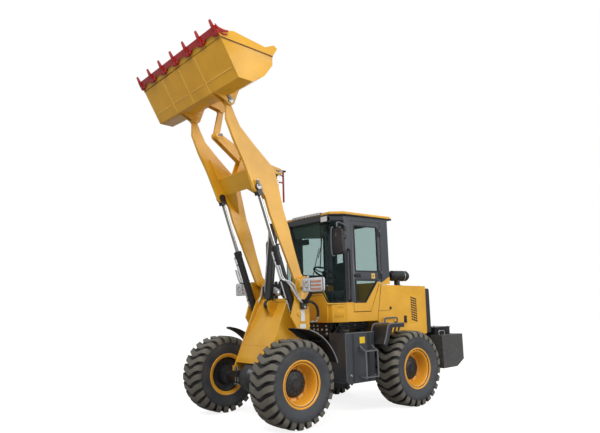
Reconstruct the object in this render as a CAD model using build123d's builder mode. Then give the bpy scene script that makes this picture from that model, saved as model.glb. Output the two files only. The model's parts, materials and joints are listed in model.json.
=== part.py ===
from build123d import *
from math import cos, hypot, radians, sin
import os

# A compact articulated wheel loader, standing with its boom raised and its bucket rolled back.
# +X is forward, +Y is the machine's left, +Z is up, and the ground is z = 0. Millimetres.

# ---------------------------------------------------------------- driving dimensions
# wheels and axles
WHEELBASE = 2160
FRONT_AXLE_X = 1170
HALF_TRACK = 845
TYRE_RADIUS = 537
TYRE_WIDTH = 424
TYRE_WALL = 32
RIM_WIDTH = 380
FLANGE_RADIUS = 291
BEAD_SEAT_RADIUS = 254
RIM_WALL = 14
DISC_OUT = -10  # the wheel disc's inner face, outboard of the wheel's middle
DISC_WALL = 26
HUB_RADIUS = 168
HUB_DRUM = 140
HUB_SPIGOT = 110
HUB_OUT = 76
HUB_IN = 195
HUB_PLAY = 0.5
AXLE_TUBE_RADIUS = 70
DIFF_RADIUS = 190
NOSE_LENGTH = 260
PAD_INNER = 250
AXLE_PAD_HEIGHT = 9
FIT = 0.3  # gap between faces that seat on each other

# boom and linkage, places from the boom's foot pin
FOOT_BACK = 489  # foot pin behind the front axle
FOOT_RISE = 1279  # foot pin above the axle
ARM_INNER = 433
ARM_THICK = 45
REACH_X = 1136
REACH_Z = 2341
PIN_RADIUS = 28
PIVOT_PIN_RADIUS = 35
BORE_GAP = 0.4
SIDE_GAP = 5

# bucket
BUCKET_WIDTH = 2168
BUCKET_PLATE = 14
SIDE_CUTTER = 22
EAR_PLATE = 25
TOOTH_COUNT = 7

# frames
TOWER_HALF = 375
TOWER_PLATE = 30
EAR_OUTER = 551
STEER_PLATE = 30
RAIL_OUTER = 320
RAIL_WALL = 30
CAB_HALF = 615
CAB_WALL = 35
HOOD_WALL = 10
CAB_FLOOR = 1232
TANK_INNER = 468
CLEANER_Y = 520
TANK_OUTER = 795
WEIGHT_HALF = 800

# ---------------------------------------------------------------- places that follow from them
AXLE_Z = TYRE_RADIUS
REAR_AXLE_X = FRONT_AXLE_X - WHEELBASE
PIVOT_X = (FRONT_AXLE_X + REAR_AXLE_X) / 2
ARM_OUTER = ARM_INNER + ARM_THICK
ARM_MIDDLE = ARM_INNER + ARM_THICK / 2
SIDES = (("left", 1), ("right", -1))
AXLES = (("front", FRONT_AXLE_X), ("rear", REAR_AXLE_X))

os.makedirs("parts", exist_ok=True)


def offset_from(origin, dx, dz):
    """The point dx forward of and dz above an origin, in the machine's middle plane."""
    return origin[0] + dx, origin[1] + dz


def distance(a, b):
    return hypot(b[0] - a[0], b[1] - a[1])


def along(a, b, length):
    """The point at a length from a on the way to b."""
    share = length / distance(a, b)
    return a[0] + (b[0] - a[0]) * share, a[1] + (b[1] - a[1]) * share


def save(piece, label):
    """Name a finished piece and write its STEP file."""
    piece.part.label = label
    export_step(piece.part, f"parts/{label}.step")


def plate(points, low, high, holes=(), mode=Mode.ADD):
    """A flat upright plate with an outline of (x, z) points, from y = low to y = high, with round holes."""
    with BuildSketch(Plane.XZ.offset(-high)) as outline:
        Polygon(*points, align=None)
        for x, z, radius in holes:
            with Locations((x, z)):
                Circle(radius, mode=Mode.SUBTRACT)
    extrude(outline.sketch, amount=high - low, mode=mode)


def strap(circles, low, high, holes=(), mode=Mode.ADD):
    """A plate with the taut outline round circles of (x, z, radius), from y = low to y = high."""
    with BuildSketch(Plane.XZ.offset(-high)) as outline:
        for x, z, radius in circles:
            with Locations((x, z)):
                Circle(radius)
        make_hull()
        for x, z, radius in holes:
            with Locations((x, z)):
                Circle(radius, mode=Mode.SUBTRACT)
    extrude(outline.sketch, amount=high - low, mode=mode)


def cross_pin(centre, radius, low, high, mode=Mode.ADD):
    """A round bar across the machine, from y = low to y = high."""
    with BuildSketch(Plane.XZ.offset(-high)) as ring:
        with Locations(centre):
            Circle(radius)
    extrude(ring.sketch, amount=high - low, mode=mode)


def block(x, y, z, mode=Mode.ADD):
    """A box between the two ends given for each axis."""
    with BuildSketch(Plane.XY.offset(z[0])) as base:
        with Locations(((x[0] + x[1]) / 2, (y[0] + y[1]) / 2)):
            Rectangle(x[1] - x[0], y[1] - y[0])
    extrude(base.sketch, amount=z[1] - z[0], mode=mode)


def slab(points, low, high, mode=Mode.ADD):
    """A level plate with an outline of (x, y) points, from z = low to z = high."""
    with BuildSketch(Plane.XY.offset(low)) as outline:
        Polygon(*points, align=None)
    extrude(outline.sketch, amount=high - low, mode=mode)


def mirrored(points):
    """Half an outline of (x, y) points with y above 0, and its mirror image on the other side."""
    return [*points, *[(x, -y) for x, y in reversed(points)]]


def rod(start, end, y, radius, mode=Mode.ADD):
    """A round bar at one y between two (x, z) points."""
    direction = (end[0] - start[0], 0, end[1] - start[1])
    with BuildSketch(Plane(origin=(start[0], y, start[1]), z_dir=direction)) as ring:
        Circle(radius)
    extrude(ring.sketch, amount=distance(start, end), mode=mode)


def between(low, high, side):
    """The two ends in y of a piece on one side: (low, high) on the left, mirrored on the right."""
    return (low, high) if side > 0 else (-high, -low)


# ---------------------------------------------------------------- linkage geometry
FOOT = (FRONT_AXLE_X - FOOT_BACK, AXLE_Z + FOOT_RISE)
BUCKET_PIN = offset_from(FOOT, REACH_X, REACH_Z)
LIFT_EYE = offset_from(FOOT, 709.5, 1241.6)
LIFT_BASE = offset_from(FOOT, 121, -444)
CRANK_PIVOT = offset_from(FOOT, 634, 1721)
CRANK_FRONT = offset_from(FOOT, 1061, 1996)
CRANK_REAR = offset_from(FOOT, 6, 1623)
LINK_END = offset_from(BUCKET_PIN, -155, 43)
TILT_BASE = offset_from(FOOT, 229, -308)


# ---------------------------------------------------------------- wheels
def spun(points, axle_x, side, mode=Mode.ADD):
    """A ring round an axle from an outline of (radius, distance outboard of the wheel's middle)."""
    with BuildSketch(Plane.XY.offset(AXLE_Z)) as section:
        Polygon(*[(axle_x + r, side * (HALF_TRACK + out)) for r, out in points], align=None)
    revolve(section.sketch, axis=Axis((axle_x, 0, AXLE_Z), (0, 1, 0)), mode=mode)


HALF_TYRE = TYRE_WIDTH / 2
HALF_RIM = RIM_WIDTH / 2
BEAD_OUT = HALF_RIM - RIM_WALL - FIT
SIDEWALL_RADIUS = (TYRE_RADIUS + FLANGE_RADIUS) / 2
tyre_outer = [
    (BEAD_SEAT_RADIUS + FIT, BEAD_OUT),
    (FLANGE_RADIUS + 4, BEAD_OUT),
    (SIDEWALL_RADIUS, HALF_TYRE),
    (TYRE_RADIUS - 62, HALF_TYRE - 4),
    (TYRE_RADIUS - 14, HALF_TYRE - 26),
    (TYRE_RADIUS, HALF_TYRE - 62),
]
tyre_inner = [
    (TYRE_RADIUS - TYRE_WALL, HALF_TYRE - 70),
    (TYRE_RADIUS - TYRE_WALL - 40, HALF_TYRE - 36),
    (SIDEWALL_RADIUS, HALF_TYRE - TYRE_WALL),
    (BEAD_SEAT_RADIUS + 40, BEAD_OUT - 34),
    (BEAD_SEAT_RADIUS + FIT, BEAD_OUT - 34),
]
tyre_outline = (
    tyre_outer
    + [(r, -out) for r, out in reversed(tyre_outer)]
    + [(r, -out) for r, out in reversed(tyre_inner)]
    + tyre_inner
)
rim_outline = [
    (BEAD_SEAT_RADIUS, -HALF_RIM + RIM_WALL),
    (FLANGE_RADIUS, -HALF_RIM + RIM_WALL),
    (FLANGE_RADIUS, -HALF_RIM),
    (BEAD_SEAT_RADIUS - RIM_WALL, -HALF_RIM),
    (BEAD_SEAT_RADIUS - RIM_WALL, HALF_RIM),
    (FLANGE_RADIUS, HALF_RIM),
    (FLANGE_RADIUS, HALF_RIM - RIM_WALL),
    (BEAD_SEAT_RADIUS, HALF_RIM - RIM_WALL),
]

for end, axle_x in AXLES:
    for name, side in SIDES:
        with BuildPart() as tyre:
            spun(tyre_outline, axle_x, side)
        save(tyre, f"tyre_{end}_{name}")

        with BuildPart() as rim:
            spun(rim_outline, axle_x, side)
            # the disc that carries the hub
            spun(
                [
                    (HUB_SPIGOT + BORE_GAP, DISC_OUT),
                    (BEAD_SEAT_RADIUS - RIM_WALL + 1, DISC_OUT),
                    (BEAD_SEAT_RADIUS - RIM_WALL + 1, DISC_OUT + DISC_WALL),
                    (HUB_SPIGOT + BORE_GAP, DISC_OUT + DISC_WALL),
                ],
                axle_x,
                side,
            )
        save(rim, f"rim_{end}_{name}")

        with BuildPart() as hub:
            spun(
                [
                    (0, -HUB_IN + HUB_PLAY),
                    (HUB_DRUM, -HUB_IN + HUB_PLAY),
                    (HUB_DRUM, DISC_OUT - FIT),
                    (HUB_SPIGOT, DISC_OUT - FIT),
                    (HUB_SPIGOT, DISC_OUT + DISC_WALL + FIT),
                    (HUB_RADIUS, DISC_OUT + DISC_WALL + FIT),
                    (HUB_RADIUS, HUB_OUT - 22),
                    (HUB_RADIUS - 18, HUB_OUT),
                    (0, HUB_OUT),
                ],
                axle_x,
                side,
            )
        save(hub, f"hub_{end}_{name}")

# ---------------------------------------------------------------- axles
AXLE_END = HALF_TRACK - HUB_IN
PAD_TOP = AXLE_Z + AXLE_TUBE_RADIUS + AXLE_PAD_HEIGHT
axle_outline = [
    (0, 0),
    (DIFF_RADIUS, 0),
    (DIFF_RADIUS, 80),
    (AXLE_TUBE_RADIUS, 210),
    (AXLE_TUBE_RADIUS, AXLE_END - 46),
    (HUB_DRUM - 6, AXLE_END - 30),
    (HUB_DRUM - 6, AXLE_END),
    (0, AXLE_END),
]
for end, axle_x, nose in (("front", FRONT_AXLE_X, -1), ("rear", REAR_AXLE_X, 1)):
    with BuildPart() as axle:
        for name, side in SIDES:
            with BuildSketch(Plane.XY.offset(AXLE_Z)) as half:
                Polygon(*[(axle_x + r, side * out) for r, out in axle_outline], align=None)
            revolve(half.sketch, axis=Axis((axle_x, 0, AXLE_Z), (0, 1, 0)))
            block(
                (axle_x - 100, axle_x + 100),
                between(PAD_INNER, TOWER_HALF + 15, side),
                (AXLE_Z, PAD_TOP),
            )
        nose_end = (axle_x + nose * NOSE_LENGTH, AXLE_Z)
        flange_end = (axle_x + nose * (NOSE_LENGTH + 50), AXLE_Z)
        rod((axle_x, AXLE_Z), nose_end, 0, 85)
        rod(nose_end, flange_end, 0, 55)
    save(axle, f"{end}_axle")

# ---------------------------------------------------------------- bucket
shell_outline = [
    offset_from(BUCKET_PIN, *point)
    for point in (
        (568, 627),
        (504, 518),
        (245, 65),
        (42, 56),
        (-137, 171),
        (-264, 344),
        (-267, 467),
        (-339, 581),
        (-287, 617),
        (-149, 555),
        (317, 631),
        (412, 611),
    )
]
LIP, CORNER = shell_outline[0], shell_outline[1]
HALF_BUCKET = BUCKET_WIDTH / 2
SHELL_HALF = HALF_BUCKET - (SIDE_CUTTER - BUCKET_PLATE)
EAR_SPANS = (
    (ARM_INNER - SIDE_GAP - EAR_PLATE, ARM_INNER - SIDE_GAP),
    (ARM_OUTER + SIDE_GAP, ARM_OUTER + SIDE_GAP + EAR_PLATE),
)
LINK_HALF = 20
LUG_INNER = 28
LUG_OUTER = 50

with BuildPart() as bucket:
    with BuildSketch(Plane.XZ.offset(-SHELL_HALF)) as sheet:
        Polygon(*shell_outline, align=None)
        with BuildSketch(Plane.XZ.offset(-SHELL_HALF), mode=Mode.PRIVATE) as cavity:
            Polygon(*shell_outline, align=None)
            offset(amount=-BUCKET_PLATE, kind=Kind.INTERSECTION, mode=Mode.REPLACE)
        # the cavity, and the same shape lifted through the open mouth
        for rise in (0, 25, 60):
            add(cavity.sketch_local.moved(Location((0, rise))), mode=Mode.SUBTRACT)
    extrude(amount=2 * SHELL_HALF)
    for name, side in SIDES:
        plate(shell_outline, *between(SHELL_HALF - BUCKET_PLATE, SHELL_HALF, side))
        # the thicker band along the side's open edge
        band = [CORNER, LIP, *reversed(shell_outline[6:])]
        plate(band, *between(SHELL_HALF - BUCKET_PLATE, HALF_BUCKET, side))
        for low, high in EAR_SPANS:
            ear = [
                offset_from(BUCKET_PIN, *point)
                for point in ((58, -24), (249, 72), (44, 63), (-132, 178), (-61, -12))
            ]
            plate(ear, *between(low, high, side))
            cross_pin(BUCKET_PIN, 62, *between(low, high, side))
        pin_low = EAR_SPANS[0][0] - 6
        pin_high = EAR_SPANS[1][1] + 6
        cross_pin(BUCKET_PIN, PIN_RADIUS, *between(pin_low, pin_high, side))
        lug = [
            offset_from(BUCKET_PIN, *point)
            for point in ((-108, 25), (44, 64), (-132, 178), (-222, 300), (-204, 40))
        ]
        plate(lug, *between(LUG_INNER, LUG_OUTER, side))
        cross_pin(LINK_END, 49, *between(LUG_INNER, LUG_OUTER, side))
save(bucket, "bucket")

lip_run = distance(CORNER, LIP)
along_lip = ((LIP[0] - CORNER[0]) / lip_run, (LIP[1] - CORNER[1]) / lip_run)
outward = (along_lip[1], -along_lip[0])


def lip_point(run, out):
    """A point at a run along the bucket's lip from the corner and a distance outside its plate."""
    return (
        CORNER[0] + along_lip[0] * run + outward[0] * out,
        CORNER[1] + along_lip[1] * run + outward[1] * out,
    )


EDGE_THICK = 20
TOOTH_WIDTH = 78
TOOTH_TIP = offset_from(BUCKET_PIN, 634, 699)
with BuildPart() as tooth_bar:
    edge = [
        lip_point(20, FIT),
        lip_point(lip_run + 8, FIT),
        lip_point(lip_run + 20, EDGE_THICK),
        lip_point(20, EDGE_THICK),
    ]
    plate(edge, -HALF_BUCKET, HALF_BUCKET)
    tooth = [
        lip_point(0, FIT),
        lip_point(lip_run + 6, FIT),
        lip_point(lip_run + 6, -16),
        TOOTH_TIP,
        lip_point(lip_run + 10, 36),
        lip_point(-24, 30),
        lip_point(-20, FIT + 0.5),
    ]
    pitch = (BUCKET_WIDTH - TOOTH_WIDTH) / (TOOTH_COUNT - 1)
    for number in range(TOOTH_COUNT):
        middle = (number - (TOOTH_COUNT - 1) / 2) * pitch
        plate(tooth, middle - TOOTH_WIDTH / 2, middle + TOOTH_WIDTH / 2)
save(tooth_bar, "tooth_bar")

# ---------------------------------------------------------------- bucket link and bell crank
RIDE = 3  # what an open eye's short pin reaches past the eye, clear of the lugs
with BuildPart() as bucket_link:
    front, top = (*CRANK_FRONT, 45), (*LINK_END, 40)
    bore = (*CRANK_FRONT, PIN_RADIUS + BORE_GAP)
    strap([front, top], -LINK_HALF, LINK_HALF, [bore])
    cross_pin(LINK_END, PIN_RADIUS, -LINK_HALF - RIDE, LINK_HALF + RIDE)
save(bucket_link, "bucket_link")

CRANK_INNER = 30
CRANK_PLATE = 18
CRANK_HALF = CRANK_INNER + CRANK_PLATE
with BuildPart() as bell_crank:
    pivot_bore = (*CRANK_PIVOT, PIVOT_PIN_RADIUS + BORE_GAP)
    for name, side in SIDES:
        web = [(*CRANK_PIVOT, 86), (*CRANK_FRONT, 50), (*along(CRANK_PIVOT, CRANK_REAR, 110), 70)]
        tail = [(*along(CRANK_PIVOT, CRANK_REAR, 110), 70), (*CRANK_REAR, 48)]
        strap(web, *between(CRANK_INNER, CRANK_HALF, side), [pivot_bore])
        strap(tail, *between(CRANK_INNER, CRANK_HALF, side), [pivot_bore])
    # the middle is filled round the pivot, and left open at both eyes
    strap(
        [(*CRANK_PIVOT, 70), (*along(CRANK_PIVOT, CRANK_FRONT, 330), 44)],
        -CRANK_INNER,
        CRANK_INNER,
        [pivot_bore],
    )
    cross_pin(CRANK_FRONT, PIN_RADIUS, -CRANK_HALF - 10, CRANK_HALF + 10)
    cross_pin(CRANK_FRONT, 40, -CRANK_HALF - 16, -CRANK_HALF)
    cross_pin(CRANK_FRONT, 40, CRANK_HALF, CRANK_HALF + 16)
save(bell_crank, "bell_crank")

# ---------------------------------------------------------------- boom
arm_outline = [
    offset_from(FOOT, *point)
    for point in (
        (1184, 2300),
        (1184, 2261),
        (1188, 2102),
        (1078, 1845),
        (939, 1591),
        (866, 1431),
        (775, 1225),
        (640, 1190),
        (585, 1120),
        (513, 898),
        (313, 435),
        (109, -16),
        (40, -50),
        (-56, 30),
        (7.5, 100),
        (120, 443),
        (197, 710),
        (286, 956),
        (383, 1356),
        (416, 1470),
        (496, 1577),
        (758, 1811),
        (978, 2025),
        (1053, 2164),
        (1106, 2278),
        (REACH_X, REACH_Z),
    )
]
BOSS_LOW = TOWER_HALF + 8
BOSS_HIGH = EAR_OUTER - TOWER_PLATE - 8
for name, side in SIDES:
    with BuildPart() as boom_arm:
        with BuildSketch(Plane.XZ.offset(-max(side * ARM_INNER, side * ARM_OUTER))) as outline:
            Polygon(*arm_outline, align=None)
            for centre, radius in ((FOOT, 62), (LIFT_EYE, 72), (BUCKET_PIN, 60)):
                with Locations(centre):
                    Circle(radius)
            with Locations(BUCKET_PIN):
                Circle(PIN_RADIUS + BORE_GAP, mode=Mode.SUBTRACT)
            with Locations(FOOT):
                Circle(PIVOT_PIN_RADIUS + BORE_GAP, mode=Mode.SUBTRACT)
        extrude(amount=ARM_THICK)
        with BuildSketch(Plane.XZ.offset(-max(side * BOSS_LOW, side * BOSS_HIGH))) as boss:
            with Locations(FOOT):
                Circle(60)
                Circle(PIVOT_PIN_RADIUS + BORE_GAP, mode=Mode.SUBTRACT)
        extrude(amount=BOSS_HIGH - BOSS_LOW)
    save(boom_arm, f"boom_arm_{name}")

box_outer = [offset_from(FOOT, *point) for point in ((781, 1496), (587, 1604), (459, 1384), (654, 1276))]
box_inner = [offset_from(FOOT, *point) for point in ((762, 1491), (592, 1585), (478, 1389), (649, 1295))]
BRACKET_LOW = CRANK_HALF + SIDE_GAP
BRACKET_HIGH = BRACKET_LOW + 22
ARM_SEAT = ARM_INNER - FIT
with BuildPart() as boom_cross_member:
    plate(box_outer, -ARM_SEAT, ARM_SEAT)
    plate(box_inner, -ARM_SEAT, ARM_SEAT, mode=Mode.SUBTRACT)
    for name, side in SIDES:
        bracket = [
            offset_from(FOOT, *point)
            for point in ((575, 1720), (582, 1600), (775, 1492), (694, 1720))
        ]
        plate(bracket, *between(BRACKET_LOW, BRACKET_HIGH, side))
        cross_pin(CRANK_PIVOT, 62, *between(BRACKET_LOW, BRACKET_HIGH, side))
        gusset = [offset_from(FOOT, *point) for point in ((777, 1494), (922, 1774), (591, 1600))]
        plate(gusset, *between(ARM_SEAT - 22, ARM_SEAT, side))
    cross_pin(CRANK_PIVOT, PIVOT_PIN_RADIUS, -BRACKET_HIGH - 10, BRACKET_HIGH + 10)
save(boom_cross_member, "boom_cross_member")

# ---------------------------------------------------------------- lift cylinders
BARREL_LENGTH = 960
BARREL_RADIUS = 48
LIFT_ROD_RADIUS = 24
LIFT_EYE_HALF = 34
TINE_PLATE = 18
lift_gland = along(LIFT_BASE, LIFT_EYE, BARREL_LENGTH)
lift_bridge = along(LIFT_EYE, LIFT_BASE, 82)
for name, side in SIDES:
    with BuildPart() as lift_barrel:
        rod(along(LIFT_BASE, LIFT_EYE, 34), lift_gland, side * ARM_MIDDLE, BARREL_RADIUS)
        collar = along(LIFT_BASE, LIFT_EYE, BARREL_LENGTH - 70)
        rod(collar, lift_gland, side * ARM_MIDDLE, BARREL_RADIUS + 5)
        eye = between(ARM_MIDDLE - LIFT_EYE_HALF, ARM_MIDDLE + LIFT_EYE_HALF, side)
        cross_pin(LIFT_BASE, 52, *eye)
        rod(
            along(LIFT_BASE, LIFT_EYE, 120),
            along(LIFT_BASE, LIFT_EYE, BARREL_LENGTH + 1),
            side * ARM_MIDDLE,
            LIFT_ROD_RADIUS + BORE_GAP,
            mode=Mode.SUBTRACT,
        )
        cross_pin(LIFT_BASE, PIN_RADIUS + BORE_GAP, *eye, mode=Mode.SUBTRACT)
    save(lift_barrel, f"lift_barrel_{name}")

    with BuildPart() as lift_rod:
        rod(
            along(LIFT_EYE, LIFT_BASE, 80),
            along(LIFT_BASE, LIFT_EYE, BARREL_LENGTH - 70),
            side * ARM_MIDDLE,
            LIFT_ROD_RADIUS,
        )
        tine_low = ARM_INNER - SIDE_GAP - TINE_PLATE
        tine_high = ARM_OUTER + SIDE_GAP + TINE_PLATE
        # the bridge that joins the fork's two tines below the arm's lug
        with BuildSketch(
            Plane(
                origin=(lift_bridge[0], side * ARM_MIDDLE, lift_bridge[1]),
                x_dir=(0, 1, 0),
                z_dir=(LIFT_BASE[0] - LIFT_EYE[0], 0, LIFT_BASE[1] - LIFT_EYE[1]),
            )
        ) as bridge:
            Rectangle(tine_high - tine_low, 76)
        extrude(amount=30)
        for low, high in ((tine_low, ARM_INNER - SIDE_GAP), (ARM_OUTER + SIDE_GAP, tine_high)):
            strap(
                [(*LIFT_EYE, 46), (*along(LIFT_EYE, LIFT_BASE, 72), 36)],
                *between(low, high, side),
            )
        cross_pin(LIFT_EYE, 36, *between(tine_high, tine_high + 12, side))
    save(lift_rod, f"lift_rod_{name}")

# ---------------------------------------------------------------- tilt cylinder
TILT_BARREL_LENGTH = 1150
TILT_BARREL_RADIUS = 60
TILT_ROD_RADIUS = 24
TILT_EYE_HALF = 25
tilt_gland = along(TILT_BASE, CRANK_REAR, TILT_BARREL_LENGTH)
with BuildPart() as tilt_barrel:
    rod(along(TILT_BASE, CRANK_REAR, 30), along(TILT_BASE, CRANK_REAR, 90), 0, 34)
    rod(along(TILT_BASE, CRANK_REAR, 76), tilt_gland, 0, TILT_BARREL_RADIUS)
    rod(along(TILT_BASE, CRANK_REAR, TILT_BARREL_LENGTH - 80), tilt_gland, 0, TILT_BARREL_RADIUS + 6)
    cross_pin(TILT_BASE, 56, -36, 36)
    rod(
        along(TILT_BASE, CRANK_REAR, 140),
        along(TILT_BASE, CRANK_REAR, TILT_BARREL_LENGTH + 1),
        0,
        TILT_ROD_RADIUS + BORE_GAP,
        mode=Mode.SUBTRACT,
    )
    cross_pin(TILT_BASE, PIVOT_PIN_RADIUS + BORE_GAP, -36, 36, mode=Mode.SUBTRACT)
save(tilt_barrel, "tilt_barrel")

with BuildPart() as tilt_rod:
    rod(
        along(CRANK_REAR, TILT_BASE, 30),
        along(TILT_BASE, CRANK_REAR, TILT_BARREL_LENGTH - 80),
        0,
        TILT_ROD_RADIUS,
    )
    cross_pin(CRANK_REAR, 42, -TILT_EYE_HALF, TILT_EYE_HALF)
save(tilt_rod, "tilt_rod")
# a red rod beside the tilt cylinder, whose black head shows the operator the bucket's angle
INDICATOR_X = FOOT[0] - 88
ROD_LEAN = 1.6  # how far the rod leans over the bracket's height, with the fit
bracket_at = along(CRANK_REAR, TILT_BASE, 150)
with BuildPart() as level_indicator:
    rod((INDICATOR_X, CRANK_REAR[1] - 439), (INDICATOR_X, CRANK_REAR[1] + 22), 0, 9)
    block(
        (INDICATOR_X - 30, INDICATOR_X + 30),
        (-22, 22),
        (CRANK_REAR[1] + 20, CRANK_REAR[1] + 34),
    )
    block(
        (INDICATOR_X, bracket_at[0] - TILT_ROD_RADIUS - ROD_LEAN),
        (-8, 8),
        (bracket_at[1] - 10, bracket_at[1] + 10),
    )
save(level_indicator, "level_indicator")

# ---------------------------------------------------------------- front frame
TONGUE_LOW = 585
TONGUE_HIGH = 985
TONGUE_RADIUS = 110
WALL_X = PIVOT_X + 430  # the cross wall that ties the tongue to the tower's sides
PIVOT_BORE = PIVOT_PIN_RADIUS + BORE_GAP
tower_side = [
    (WALL_X, PAD_TOP - 31),
    *[offset_from((FRONT_AXLE_X, AXLE_Z), *point) for point in (
        (-170, 48),
        (-170, 170),
        (-110, 210),
        (-110, 79 + FIT),
        (98, 79 + FIT),
        (98, 150),
        (76, 79 + 60),
        (-310, 1023),
        (-380, 1098),
    )],
    offset_from(FOOT, 56, 20),
    offset_from(FOOT, -58, 0),
    offset_from(FOOT, -58, -790),
    (WALL_X, TONGUE_HIGH + STEER_PLATE),
]
outer_ear = [
    offset_from(FOOT, *point)
    for point in (
        (56, 25),
        (143, 31),
        (179, -251),
        (253, -481),
        (138, -675),
        (18, -787),
        (-58, -630),
        (-58, 0),
    )
]
with BuildPart() as front_frame:
    for name, side in SIDES:
        tower = between(TOWER_HALF - TOWER_PLATE, TOWER_HALF, side)
        ear = between(EAR_OUTER - TOWER_PLATE, EAR_OUTER, side)
        plate(tower_side, *tower)
        plate(outer_ear, *ear)
        for low, high in (tower, ear):
            cross_pin(FOOT, 60, low, high)
        # the web between the tower's side and its outer ear, behind the cylinder
        rear = FOOT[0] - 58
        block(
            (rear, rear + 22),
            between(TOWER_HALF - 1, EAR_OUTER - TOWER_PLATE + 1, side),
            (FOOT[1] - 776, FOOT[1] - 130),
        )
        pins_high = EAR_OUTER + 14
        cross_pin(FOOT, PIVOT_PIN_RADIUS, *between(TOWER_HALF - TOWER_PLATE, pins_high, side))
        cross_pin(LIFT_BASE, PIN_RADIUS, *between(TOWER_HALF - TOWER_PLATE, pins_high, side))
    half = TOWER_HALF - TOWER_PLATE + 1
    # the tower's inclined front, its rear wall, and the cross wall behind the tongue
    face_top = offset_from((FRONT_AXLE_X, AXLE_Z), -370, 963)
    face_foot = offset_from((FRONT_AXLE_X, AXLE_Z), 60, 196)
    lean = [
        face_top,
        face_foot,
        (face_foot[0] - 24, face_foot[1] - 8),
        (face_top[0] - 24, face_top[1] - 8),
    ]
    plate(lean, -half, half)
    block((rear, rear + 20), (-half, half), (TONGUE_HIGH, FOOT[1] - 430))
    block((WALL_X, WALL_X + 30), (-half, half), (TONGUE_LOW, TONGUE_HIGH + STEER_PLATE))
    block(
        (FRONT_AXLE_X - 200, FRONT_AXLE_X - 180),
        (-half, half),
        (PAD_TOP + 130, PAD_TOP + 400),
    )
    for low in (TONGUE_LOW, TONGUE_HIGH):
        with BuildSketch(Plane.XY.offset(low)) as tongue:
            with Locations((PIVOT_X, 0)):
                Circle(TONGUE_RADIUS)
            with Locations((WALL_X + 20, 0)):
                Rectangle(40, 2 * half)
            make_hull()
            with Locations((PIVOT_X, 0)):
                Circle(PIVOT_BORE, mode=Mode.SUBTRACT)
        extrude(amount=STEER_PLATE)
    block((WALL_X + 20, rear + 1), (-half, half), (TONGUE_HIGH, TONGUE_HIGH + STEER_PLATE))
    # the tilt cylinder's lugs stand off the tower's rear wall
    for name, side in SIDES:
        lug = [
            offset_from(TILT_BASE, *point)
            for point in ((-8, 52), (-112, 20), (-20, -180), (48, -60), (50, -5))
        ]
        plate(lug, *between(42, 66, side))
        cross_pin(TILT_BASE, 56, *between(42, 66, side))
    cross_pin(TILT_BASE, PIVOT_PIN_RADIUS, -74, 74)
save(front_frame, "front_frame")

FENDER_RADIUS = 660
FENDER_PLATE = 8
# the fender's reach around the wheel, from straight ahead, over the top and down behind it
FENDER_START = 97
FENDER_END = 162
FENDER_INNER = 700
FENDER_OUTER = 990
with BuildPart() as front_fenders:
    for name, side in SIDES:
        low, high = between(FENDER_INNER, FENDER_OUTER, side)
        with BuildSketch(Plane.XZ.offset(-high)) as band:
            with BuildLine():
                for radius in (FENDER_RADIUS, FENDER_RADIUS + FENDER_PLATE):
                    CenterArc((FRONT_AXLE_X, AXLE_Z), radius, FENDER_START, FENDER_END - FENDER_START)
                for angle in (FENDER_START, FENDER_END):
                    PolarLine(
                        (
                            FRONT_AXLE_X + FENDER_RADIUS * cos(radians(angle)),
                            AXLE_Z + FENDER_RADIUS * sin(radians(angle)),
                        ),
                        FENDER_PLATE,
                        angle,
                    )
            make_face()
        extrude(amount=high - low)
        # the bracket that carries it from the tower's ear
        bracket = [
            (
                FRONT_AXLE_X + (FENDER_RADIUS - depth) * cos(radians(angle)),
                AXLE_Z + (FENDER_RADIUS - depth) * sin(radians(angle)),
            )
            for depth, angle in ((-3, 112), (36, 112), (36, 132), (-3, 132))
        ]
        plate(bracket, *between(FENDER_INNER - 10, FENDER_OUTER - 60, side))
        stem = [
            (
                FRONT_AXLE_X + (FENDER_RADIUS - depth) * cos(radians(angle)),
                AXLE_Z + (FENDER_RADIUS - depth) * sin(radians(angle)),
            )
            for depth, angle in ((36, 116), (-110, 119), (-110, 129), (36, 132))
        ]
        plate(stem, *between(EAR_OUTER + FIT, FENDER_INNER - 9, side))
save(front_fenders, "front_fenders")

LAMP_X = FOOT[0] + 40
with BuildPart() as headlamps:
    for name, side in SIDES:
        block((LAMP_X, LAMP_X + 66), between(640, 1000, side), (FOOT[1] - 160, FOOT[1] + 26))
        block((LAMP_X + 60, LAMP_X + 78), between(660, 860, side), (FOOT[1] - 140, FOOT[1] + 6))
        block((LAMP_X + 60, LAMP_X + 78), between(876, 980, side), (FOOT[1] - 140, FOOT[1] + 6))
        block((LAMP_X, LAMP_X + 30), between(EAR_OUTER + FIT, 660, side), (FOOT[1] - 130, FOOT[1] - 80))
save(headlamps, "headlamps")

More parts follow.
